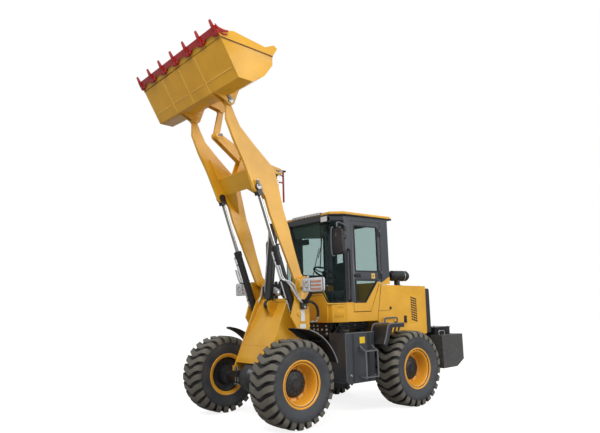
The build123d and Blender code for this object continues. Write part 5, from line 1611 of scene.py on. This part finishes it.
for x in (-0.290, -0.210):
    levers.append(tube([(x, -0.370, 1.690), (x + 0.020, -0.372, 1.800)], 0.0065, 8))
    knob = [(0.0, 0.034), (0.014, 0.032), (0.022, 0.020), (0.020, 0.004), (0.010, -0.008)]
    levers.append(turned(knob, (x + 0.021, -0.372, 1.806), "Z", 20))
piece("levers", join(*levers), moulded, REAR)
visor_green = rubber("visor_green", (92, 102, 94), 900, 0.6, 0.05)
visor = [(-0.36, 2.700), (0.430, 2.700), (0.375, 2.440), (-0.270, 2.500)]
piece("sun_visor", prism(visor, 0.166, 0.172, "X"), visor_green, REAR, 0.002)
inner_mirror = rounded_box((0.138, -0.150, 2.385), (0.152, 0.015, 2.470), 0.02, "X")
stem = bent([(0.145, -0.07, 2.460), (0.150, -0.08, 2.540), (0.160, -0.08, 2.690)], 0.005, 1, 6, 8)
piece("inner_mirror", join(inner_mirror, stem), moulded, REAR, 0.003)
piece("floor_mat", box_shape((-0.90, -0.55, 1.2625), (0.13, 0.45, 1.268)), seal_rubber, REAR)
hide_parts("steering_column")
print("cab inside: seat pad", np.round(pad_place, 3))

# %% [markdown]
# ## Roof, lights, mirrors and wipers
#
# The roof is a thin yellow cap over a dark lining. Under its front corners hang two square work
# lights, and the mirrors hang on bent tubes from the corner posts.

# %% Roof trim
roof_low, roof_high = low("cab_roof"), high("cab_roof")
tray_grey = rubber("tray_grey", (120, 124, 128), 900, 0.42, 0.1)
eaves = [(-1.050, 0.0), (-1.050, 0.612), (-0.012, 0.641), (0.158, 0.507), (0.160, 0.0)]
eaves_tubes = []
for name, side in SIDES:
    line = mirrored([(x, y, roof_low[2] + 0.003) for x, y in eaves], side)
    eaves_tubes += [tube([a, b], 0.0125, 10) for a, b in zip(line, line[1:])]
piece("roof_gutter", join(*eaves_tubes), seal_rubber, REAR)
lining_outline = [(-0.93, -0.59), (0.0, -0.59), (0.15, -0.47), (0.15, 0.47), (0.0, 0.59), (-0.93, 0.59)]
piece(
    "roof_lining", prism(lining_outline, roof_low[2] - 0.034, roof_low[2] - 0.002, "Z"), dash_plastic, REAR,
    0.004,
)
# a lamp bar on the roof's front edge: a grey tray with pale lenses
tray = box_shape((0.112, -0.350, roof_low[2] + 0.022), (0.166, 0.330, roof_high[2] + 0.006))
piece("roof_lamp_tray", tray, tray_grey, REAR, 0.004)
strip_boxes = []
for y in np.linspace(-0.305, 0.285, 9):
    strip_boxes.append(
        box_shape((0.118, y - 0.030, roof_low[2] + 0.028), (0.172, y + 0.030, roof_high[2] + 0.012))
    )
piece("roof_lens_strip", join(*strip_boxes), lamp_white, REAR, 0.004)
aerial_profile = [(0.0, 0.030), (0.004, 0.028), (0.006, 0.012), (0.014, 0.006), (0.016, -0.002)]
aerial = turned(aerial_profile, (-0.10, 0.53, roof_high[2] - 0.004), "Z", 18)
piece("roof_stub", aerial, seal_rubber, REAR)

(light_rear, _, light_foot), (light_front, light_side, light_top) = low("work_lights"), high("work_lights")
for name, side in SIDES:
    near = (light_front - 0.006, light_side - 0.142, light_foot + 0.008)
    face = side_box(near, (light_front + 0.002, light_side - 0.008, light_top - 0.008), side, 0.010)
    piece(f"work_lens_{name}", face, clear_lens, REAR, 0.002)
    near = (light_rear + 0.012, light_side - 0.150, light_foot)
    shell = side_box(near, (light_front - 0.004, light_side, light_top), side, 0.014)
    piece(f"work_shell_{name}", shell, lamp_white, REAR, 0.004)

# %% Mirrors and wipers
mirror_high = high("mirrors")
mirror_back = mirror_high[0] - 0.044
arm_grey = rubber("arm_grey", (104, 108, 114), 900, 0.4, 0.08)
for name, side in SIDES:
    shell = side_box((mirror_back, 0.700, 2.165), (mirror_high[0], 0.900, 2.525), side, 0.05)
    made = piece(f"mirror_shell_{name}", shell, moulded, REAR, 0.016, segments=4)
    glass = side_box((mirror_back - 0.003, 0.718, 2.190), (mirror_back + 0.001, 0.882, 2.500), side, 0.04)
    piece(f"mirror_glass_{name}", glass, chrome_rod, REAR)
    loop = [
        (-0.030, 0.620, 2.570), (0.010, 0.660, 2.615), (0.150, 0.700, 2.640), (0.250, 0.760, 2.610),
        (0.276, 0.790, 2.540), (0.286, 0.775, 2.420),
    ]
    lower = [(-0.030, 0.618, 2.452), (0.110, 0.668, 2.470), (0.262, 0.716, 2.452)]
    guard = [
        (0.262, 0.690, 2.560), (0.300, 0.700, 2.535), (0.306, 0.694, 2.350), (0.300, 0.700, 2.180),
        (0.270, 0.716, 2.150),
    ]
    arms = [bent(path, 0.0105, side) for path in (loop, lower, guard)]
    piece(f"mirror_arms_{name}", join(*arms), arm_grey, REAR)
    clamps = [side_box((0.238, 0.776, 2.522), (0.292, 0.836, 2.560), side)]
    for z in (2.570, 2.452):
        clamps.append(side_box((-0.056, 0.6152, z - 0.030), (-0.014, 0.632, z + 0.030), side))
    piece(f"mirror_clamps_{name}", join(*clamps), moulded, REAR, 0.006)
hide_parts("mirrors")

wiper_paths = (
    ("long", [(0.206, 0.360, 2.672), (0.222, 0.372, 2.560), (0.222, 0.380, 2.340), (0.214, 0.300, 2.160)]),
    ("cross", [(0.206, 0.120, 1.700), (0.222, 0.150, 1.820), (0.220, 0.260, 2.120), (0.214, 0.330, 2.300)]),
)
for name, path in wiper_paths:
    piece(f"wiper_arm_{name}", bent(path, 0.0055, 1, 6, 8), seal_rubber, REAR)
blade = [(0.211, 0.395, 2.520), (0.211, 0.330, 2.000)]
piece("wiper_blade", tube(blade, 0.0075, 6), seal_rubber, REAR)
piece("wiper_motor", box_shape((0.150, 0.320, 2.640), (0.196, 0.420, 2.696)), seal_rubber, REAR, 0.006)
print("cab trim done")

# %% [markdown]
# ## Tower fittings
#
# The tower's leaning front has a folded strip along its top and a seam above its foot. Behind it sit
# the valve block and its hoses, and a small lamp looks over the top.

# %% Tower front, valve block and hoses
lean_way = (face_foot - face_top) / norm(face_foot - face_top)
lean_out = np.array([-lean_way[1], lean_way[0]])


def on_lean(run, out, y):
    """A point on the tower's leaning front: a run down from its top, and a distance out from it."""
    x, z = face_top + lean_way * run + lean_out * out
    return (x, y, z)


BROW, BROW_HALF = 0.095, 0.344
VALVE_YS = (-0.26, -0.16, 0.16, 0.26)
brow = [
    on_lean(run, out, 0)[::2] for run, out in ((-BROW, 0.0), (0.004, 0.0), (0.004, -0.010), (-BROW, -0.010))
]
piece("tower_brow", prism(brow, -BROW_HALF, BROW_HALF), yellow, FRONT, 0.002)
strip_corners = ((-BROW, 0.0), (-BROW, 0.010), (0.052 - BROW, 0.010), (0.052 - BROW, 0.0))
strip = [on_lean(run, out, 0)[::2] for run, out in strip_corners]
piece("tower_strip", prism(strip, -BROW_HALF, BROW_HALF), yellow, FRONT, 0.003)
for index, run in enumerate((0.058 - BROW, 0.62)):
    bead(f"tower_seam_{index}", [on_lean(run, 0.001, -0.343), on_lean(run, 0.001, 0.343)], FRONT, 0.0028)
hook_path = (
    (-0.035, 0.006, -0.125), (0.010, 0.015, -0.105), (0.035, 0.015, -0.085), (0.075, 0.010, -0.092),
    (0.085, 0.008, -0.075),
)
hook = [on_lean(run - BROW, out, y) for run, out, y in hook_path]
piece("tower_hook", bent(hook, 0.012, 1, 8), yellow, FRONT)
valve_cap = [(0.0, 0.048), (0.020, 0.046), (0.024, 0.030), (0.024, 0.0)]
spool_cap = [(0.0, 0.040), (0.018, 0.036), (0.026, 0.020), (0.026, 0.0)]
valve_parts = []
for y in VALVE_YS:
    valve_parts.append(box_shape((0.640, y - 0.042, 1.500), (0.734, y + 0.042, 1.640)))
    valve_parts.append(turned(valve_cap, (0.690, y, 1.640), "Z", 20))
valve_parts.append(box_shape((0.635, -0.33, 1.480), (0.670, 0.33, 1.560)))
valve_parts.append(box_shape((0.640, -0.170, 1.640), (0.700, 0.110, 1.800)))
for y in (-0.13, -0.03, 0.07):
    valve_parts.append(turned(spool_cap, (0.670, y, 1.800), "Z", 16))
piece("valve_block", join(*valve_parts), frame_black, FRONT, 0.004)
fitting_profile = [(0.0, 0.030), (0.013, 0.030), (0.013, 0.014), (0.018, 0.012), (0.018, 0.0)]
fittings = []
for y in VALVE_YS:
    for z in (1.540, 1.600):
        fittings.append(turned(fitting_profile, (0.734, y, z), "X", 6))
piece("valve_fittings", join(*fittings), bolt_steel, FRONT)
valve_hoses = []
for y, end in zip(VALVE_YS, (-0.305, -0.20, 0.20, 0.305)):
    path = [
        (0.750, y, 1.600), (0.790, y, 1.640), (0.800, y * 1.03, 1.735), (0.770, end, 1.775),
        (0.712, end, 1.730), (0.690, end, 1.640), (0.680, end, 1.520),
    ]
    valve_hoses.append(bent(path, 0.0125, 1, 8, 12))
piece("valve_hoses", join(*valve_hoses), hose_rubber, FRONT)
for name, side in SIDES:
    braid = [
        (0.770, 0.10, 1.700), (0.790, 0.200, 1.780), (0.792, 0.290, 1.765), (0.790, 0.335, 1.640),
        (0.835, 0.352, 1.545), (0.850, 0.395, 1.470), (0.842, 0.420, 1.400),
    ]
    piece(f"braided_hose_{name}", bent(braid, 0.0135, side, 8, 12), hose_silver, FRONT)
    for index, radius in enumerate((0.0115, 0.0105)):
        shift = 0.036 * index
        bundle = [
            (1.118 - shift, 0.508, 2.020), (1.055 - shift, 0.508, 1.850),
            (0.985 - shift, 0.520 + shift, 1.812 - shift * 0.4), (0.935 - shift, 0.545 + shift, 1.752),
            (0.878 - shift, 0.575, 1.640), (0.815 - shift * 0.4, 0.592, 1.548), (0.768, 0.585, 1.520),
        ]
        path = smooth_path(mirrored(bundle, side), 12)
        hose = piece(f"lift_hose_{index}_{name}", tube(path, radius, 12), hose_silver, FRONT)
        hose.parent = None
        del hose["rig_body"]
        on_tower, on_barrel = mirrored([(0.80, 0.59, 1.55), (1.09, 0.51, 1.96)], side)
        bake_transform(hose)
    sheath = [
        (0.842, 0.420, 1.402), (0.820, 0.440, 1.330), (0.770, 0.500, 1.330), (0.745, 0.516, 1.420),
        (0.745, 0.513, 1.500),
    ]
    piece(f"sheath_hose_{name}", bent(sheath, 0.013, side, 8, 12), hose_rubber, FRONT)

OVAL_CENTRE, OVAL_TURN = np.array([0.754, -0.010, 1.690]), math.radians(-24)


def oval_lamp(half_length=0.105, radius=0.046, steps=40):
    """A lying oval: radius x sqrt(1 - s^4) about an axis that runs down to the machine's left."""
    along = np.linspace(-1, 1, steps)
    around = full_turn(steps)
    s, turn = np.meshgrid(along, around, indexing="ij")
    reach = radius * np.sqrt(np.clip(1 - s**4, 0, 1))
    x, across, up = reach * np.cos(turn), half_length * s, reach * np.sin(turn)
    y = across * math.cos(OVAL_TURN) - up * math.sin(OVAL_TURN)
    z = across * math.sin(OVAL_TURN) + up * math.cos(OVAL_TURN)
    points = np.stack([x, y, z], axis=-1) + OVAL_CENTRE
    return points.reshape(-1, 3), grid_faces(steps, steps, wrap_columns=True)


piece("tower_lamp", oval_lamp(), hose_silver, FRONT)
piece(
    "tower_lamp_stalk",
    tube([(0.752, -0.03, 1.660), (0.748, -0.03, 1.600), (0.720, -0.03, 1.560)], 0.012, 10), moulded, FRONT,
)
piece("tower_lamp_foot", box_shape((0.640, -0.09, 1.530), (0.735, 0.02, 1.564)), moulded, FRONT, 0.004)

# steel studs and nuts that clamp the tower's feet to the axle
stud_shapes = []
for x in (1.095, 1.245):
    for y in (-0.335, -0.275, 0.275, 0.335):
        stud_shapes.append(tube([(x, y, 0.430), (x, y, 0.672)], 0.0105, 12))
        stud_shapes.append(bolt_heads([(x, y, 0.452)], "Z", 0.018, 0.020, -1))
        stud_shapes.append(bolt_heads([(x, y, 0.646)], "Z", 0.018, 0.020, 1))
piece("axle_studs", join(*stud_shapes), bolt_steel, FRONT)
plates = [box_shape((1.070, y0, 0.452), (1.270, y0 + 0.10, 0.470)) for y0 in (-0.355, 0.255)]
piece("axle_clamps", join(*plates), frame_black, FRONT, 0.003)
print("tower fittings done")

# %% [markdown]
# ## Hood
#
# The side of the hood has a vent of short slanted slots in three columns, a round cap, a latch and
# three long slots over the wheel; the slots are black plates on the panel, painted shade for the
# openings. A black fender with rolled edges painted grey as a highlight, and a bent grab rail, stand
# below it, and a pre-cleaner stands on top.

# %% Hood vents and latches
hood_y = high("engine_hood")[1]


def slanted_slot(centre, width, height, lean, side, proud=0.0022):
    """A slot: a leaning dark parallelogram standing a hair out of the panel, painted shade for the hole."""
    x, z = centre
    half_w, half_h = width / 2, height / 2
    outline = [
        (x - half_w - lean, z - half_h), (x + half_w - lean, z - half_h), (x + half_w + lean, z + half_h),
        (x - half_w + lean, z + half_h),
    ]
    return side_prism(outline, hood_y + 0.0005, hood_y + proud, side)


for name, side in SIDES:
    plate_corners = side_box(
        (-1.582, hood_y - 0.008, 1.165), (-1.378, hood_y + 0.0015, 1.600), side, 0.02, "Y"
    )
    piece(f"vent_plate_{name}", plate_corners, yellow, REAR, 0.001)
    slots = []
    for column, x in enumerate((-1.430, -1.478, -1.526)):
        for row in range(10):
            slots.append(
                slanted_slot((x, 1.222 + row * 0.0375 - column * 0.012), 0.033, 0.029, 0.014, side, 0.0030)
            )
    piece(f"vent_slot_shade_{name}", join(*slots), seal_rubber, REAR)
    cap = [(0.0, 0.010), (0.017, 0.009), (0.022, 0.004), (0.023, 0.0)]
    piece(f"hood_cap_{name}", turned(cap, (-0.936, side * hood_y, 1.409), "Y", 24, side), seal_rubber, REAR)
    latch = side_box((-1.293, hood_y, 1.175), (-1.233, hood_y + 0.008, 1.285), side, 0.008, "Y")
    paddle = side_box((-1.283, hood_y + 0.007, 1.190), (-1.243, hood_y + 0.016, 1.240), side, 0.005, "Y")
    piece(f"hood_latch_{name}", join(latch, paddle), seal_rubber, REAR, 0.002)
    long_slots = [
        slanted_slot((x, 1.074), 0.040, 0.076, -0.016, side, 0.0028) for x in (-0.921, -1.005, -1.090)
    ]
    piece(f"hood_slot_shade_{name}", join(*long_slots), seal_rubber, REAR)
    # a folded edge along the hood's foot and the strip beside the grille
    foot_lip = side_box((-1.758, hood_y - 0.002, 0.988), (-0.905, hood_y + 0.004, 1.004), side)
    rear_lip = [(-1.770, 1.000), (-1.756, 1.000), (-1.776, 1.728), (-1.783, 1.728)]
    rear_strip = side_prism(rear_lip, hood_y - 0.004, hood_y + 0.0035, side)
    piece(f"hood_lips_{name}", join(foot_lip, rear_strip), yellow, REAR, 0.0015)
bolts_on_hood = [
    (x, y, 1.7375 + (x + 1.785) * 0.0203 + 0.0005) for x in (-1.70, -1.30, -0.92) for y in (-0.56, 0.56)
]
piece("hood_bolts", bolt_heads(bolts_on_hood, "Z", 0.009, 0.007, 1), bolt_steel, REAR)

# %% Pre-cleaner
cleaner_low, cleaner_high = low("pre_cleaner"), high("pre_cleaner")
cleaner_axis = np.array([0, (cleaner_low[1] + cleaner_high[1]) / 2, cleaner_high[2] - 0.082])
profile = []
ribs = 13
for index in range(ribs):
    start = -1.420 + index * 0.020
    profile += [
        (0.078, start), (0.0815, start + 0.003), (0.0815, start + 0.010), (0.078, start + 0.013),
        (0.074, start + 0.016),
    ]
drum = [
    (0.0, -1.460), (0.050, -1.460), (0.062, -1.452), (0.066, -1.430), *profile, (0.074, -1.155),
    (0.080, -1.150), (0.082, -1.130), (0.082, -1.105), (0.060, -1.080), (0.045, -1.062), (0.0, -1.060),
]
piece("cleaner_drum", turned(drum, cleaner_axis, "X", 56), moulded, REAR)
neck = [(0.060, 1.745), (0.060, 1.757), (0.046, 1.762), (0.046, 1.835), (0.0, 1.840), (0.0, 1.745)]
cleaner_neck = piece("cleaner_neck", turned(neck, (-1.220, cleaner_axis[1], 0), "Z", 36), moulded, REAR)
band = [
    (0.0835, -1.350), (0.0845, -1.348), (0.0845, -1.334), (0.0835, -1.332), (0.0790, -1.341),
    (0.0835, -1.350),
]
piece("cleaner_band", turned(band, cleaner_axis, "X", 56), bolt_steel, REAR)
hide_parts("pre_cleaner")

# %% Rear fenders and grab rails
fender_grey = rubber("fender_grey", (92, 94, 100), 900, 0.42, 0.15)
guard_centre = [
    (-0.800, 1.184), (-0.640, 1.184), (-0.530, 1.182), (-0.478, 1.160), (-0.455, 1.110), (-0.420, 1.010),
    (-0.375, 0.912),
]
guard = smooth_path([(x, 0, z) for x, z in guard_centre], 6)[:, [0, 2]]
along_guard = np.gradient(guard, axis=0)
along_guard /= norm(along_guard, axis=1)[:, None]
off_guard = np.stack([-along_guard[:, 1], along_guard[:, 0]], axis=-1)
for name, side in SIDES:
    outline = np.vstack([guard + off_guard * 0.004, (guard - off_guard * 0.010)[::-1]])
    sheet = side_prism(outline, 0.655, 0.985, side)
    skirt_outline = np.vstack([guard + off_guard * 0.004, (guard - off_guard * 0.048)[::-1]])
    skirt = side_prism(skirt_outline, 0.972, 0.986, side)
    inner_skirt = side_prism(skirt_outline, 0.652, 0.664, side)
    arm = side_box((-0.785, 0.6155, 1.150), (-0.700, 0.660, 1.180), side)
    made = piece(f"rear_fender_{name}", join(sheet, skirt, inner_skirt, arm), moulded, REAR, 0.003)
    # painted highlight: grey beads along the fender's two edges; the grab rail's grey is its own colour
    beads = []
    for y in (0.672, 0.974):
        path = np.stack([guard[:, 0], np.full(len(guard), side * y), guard[:, 1]], axis=-1)
        path[:, [0, 2]] += off_guard * 0.006
        beads.append(tube(path, 0.0125, 10))
    piece(f"fender_beads_{name}", join(*beads), fender_grey, REAR)
    hoop = [
        (-0.745, 0.664, 1.180), (-0.748, 0.664, 1.240), (-0.775, 0.664, 1.262), (-0.990, 0.664, 1.262),
        (-1.018, 0.664, 1.240), (-1.020, 0.655, 1.200), (-1.020, 0.618, 1.190),
    ]
    rail = piece(f"grab_rail_{name}", bent(hoop, 0.0125, side, 8, 12), fender_grey, REAR)
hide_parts("rear_fenders")
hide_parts("grab_bars")

# %% [markdown]
# ## Tanks, steps and the space under the cab
#
# The tanks hang beside the rails under the cab, with a filler neck, straps and a step of bent tube.
# Between them and the cab's floor lie pipes, hoses and a dark bulkhead set with bolts painted white as
# glints. Pale tubes along the tanks' edges are a painted highlight.

# %% Tanks and steps
tank_high = high("fuel_tank")
TREAD_HEIGHTS = (0.486, 0.838)
step_grey = enamel("step_grey", (104, 106, 110), dust=(140, 134, 122), rough=0.4, dusty=0.3)
for name, side in SIDES:
    outer = tank_high[1]
    face = side * outer
    neck_at = (0.129, side * (outer - 0.080), tank_high[2] - 0.040)
    cap = [
        (0.060, 0.0), (0.063, 0.004), (0.063, 0.012), (0.052, 0.014), (0.052, 0.020), (0.066, 0.022),
        (0.068, 0.030), (0.066, 0.042), (0.050, 0.046), (0.0, 0.048),
    ]
    piece(f"tank_cap_{name}", turned(cap, neck_at, "Z", 36), moulded, REAR)
    straps = []
    for x in (-0.235, 0.060):
        straps.append(side_box((x - 0.018, outer - 0.002, 0.430), (x + 0.018, outer + 0.0035, 1.086), side))
    piece(f"tank_straps_{name}", join(*straps), frame_black, REAR, 0.0012)
    # painted highlight: pale tubes along the tank's top and front edges
    edge = tube([(-0.356, face * 1.001, 1.086), (0.203, face * 1.001, 1.086)], 0.006, 8)
    front_edge = tube([(0.203, face * 1.001, 0.455), (0.203, face * 1.001, 1.086)], 0.005, 8)
    piece(f"tank_edge_highlights_{name}", join(edge, front_edge), step_grey, REAR)
    if side > 0:
        square = box_shape((-0.171, outer, 0.940), (-0.069, outer + 0.0018, 1.028))
        piece("tank_square", square, yellow_tag, REAR)
        mark = box_shape((-0.122, outer + 0.0015, 0.952), (-0.118, outer + 0.0024, 1.016))
        piece("tank_square_mark", mark, yellow, REAR)
    drain_profile = [(0.0, 0.026), (0.014, 0.026), (0.014, 0.010), (0.022, 0.008), (0.022, 0.0)]
    drain = turned(drain_profile, (0.120, side * (outer - 0.001), 0.520), "Y", 6, side)
    piece(f"tank_drain_{name}", drain, bolt_steel, REAR)
    # the step: two treads on a bent tube frame
    rails = []
    for x in (-0.300, -0.070):
        path = [
            (x, 0.797, 0.905), (x, 0.850, 0.862), (x, 0.902, 0.838), (x, 0.905, 0.800), (x, 0.905, 0.500),
            (x, 0.880, 0.482), (x, 0.797, 0.482),
        ]
        rails.append(bent(path, 0.012, side))
    treads = [side_box((-0.296, 0.830, z - 0.008), (-0.074, 0.905, z + 0.004), side) for z in TREAD_HEIGHTS]
    teeth = []
    for z in TREAD_HEIGHTS:
        for x in np.linspace(-0.284, -0.086, 10):
            teeth.append(side_box((x - 0.004, 0.834, z + 0.003), (x + 0.004, 0.901, z + 0.009), side))
    step = piece(f"step_frame_{name}", join(*rails, *treads), step_grey, REAR, 0.002)
    piece(f"step_teeth_{name}", join(*teeth), step_grey, REAR)
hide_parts("side_steps")

# %% Under the cab
bulkhead = box_shape((0.140, -0.43, 1.030), (0.152, 0.43, 1.229))
sides_under = [side_box((-0.62, 0.430, 1.135), (0.145, 0.442, 1.229), side) for name, side in SIDES]
piece("bulkhead", join(bulkhead, *sides_under), seal_rubber, REAR, 0.002)
# painted glints: the bulkhead's bolt heads are matt white, standing for their bright highlights
rng = np.random.default_rng(7)
bright = []
for y in np.linspace(-0.36, 0.36, 9):
    for z in (1.075, 1.130, 1.185):
        if rng.random() < 0.7:
            bright.append((0.152, y + rng.uniform(-0.01, 0.01), z))
piece("bulkhead_bolts", bolt_heads(bright, "X", 0.012, 0.013, 1), lamp_white, REAR)
for name, side in SIDES:
    places = [(x, side * 0.442, z) for x in (-0.50, -0.30, -0.12, 0.05) for z in (1.160, 1.200)]
    piece(f"floor_bolts_{name}", bolt_heads(places, "Y", 0.009, 0.010, side), bolt_steel, REAR)
    hoses = []
    for index in range(4):
        z = 1.120 + 0.026 * index
        y = 0.470 + 0.022 * index
        path = [
            (0.120 - 0.05 * index, y, 1.040 + 0.02 * index), (0.080, y + 0.01, z),
            (-0.100, y + 0.02, z + 0.012), (-0.350, y, z), (-0.560, y - 0.02, z - 0.02),
        ]
        hoses.append(bent(path, 0.012, side, 8))
    piece(f"floor_hoses_{name}", join(*hoses), hose_rubber, REAR)
    collars = [
        (-0.02 - 0.11 * index, side * (0.49 + 0.02 * index), 1.150 + 0.016 * index) for index in range(3)
    ]
    shapes = [tube([(x - 0.018, y, z), (x + 0.018, y, z)], 0.0165, 6) for x, y, z in collars]
    piece(f"hose_collars_{name}", join(*shapes), bolt_steel, REAR)

# %% Counterweight fittings
weight_low, weight_high = low("counterweight"), high("counterweight")
for name, side in SIDES:
    handle = [
        (-1.960, 0.700, weight_high[2]), (-1.960, 0.700, weight_high[2] + 0.045),
        (-1.975, 0.700, weight_high[2] + 0.060), (-2.085, 0.700, weight_high[2] + 0.060),
        (-2.100, 0.700, weight_high[2] + 0.045), (-2.100, 0.700, weight_high[2]),
    ]
    piece(f"weight_handle_{name}", bent(handle, 0.009, side, 5), bolt_steel, REAR)
    eye_ring = [
        (0.030, -0.006), (0.036, 0.0), (0.030, 0.006), (0.022, 0.004), (0.022, -0.004), (0.030, -0.006)
    ]
    piece(
        f"weight_eye_{name}",
        turned(eye_ring, (weight_low[0] + 0.10, side * 0.55, weight_high[2] + 0.026), "Y", 24), dark_steel,
        REAR,
    )
for name, side in SIDES:
    frame_box = side_box((weight_low[0] - 0.004, 0.560, 0.760), (weight_low[0] + 0.004, 0.700, 0.840), side)
    lens_box = side_box((weight_low[0] - 0.009, 0.568, 0.768), (weight_low[0] + 0.002, 0.692, 0.832), side)
    piece(f"tail_frame_{name}", frame_box, moulded, REAR, 0.002)
    piece(f"tail_lens_{name}", lens_box, tail_red, REAR, 0.003)
lid_bolts = [(x, y, high("battery_box")[2]) for x in (-2.33, -2.00) for y in (0.32, 0.60)]
piece("battery_bolts", bolt_heads(lid_bolts, "Z", 0.009, 0.008, 1), bolt_steel, REAR)
print("rear fittings done")
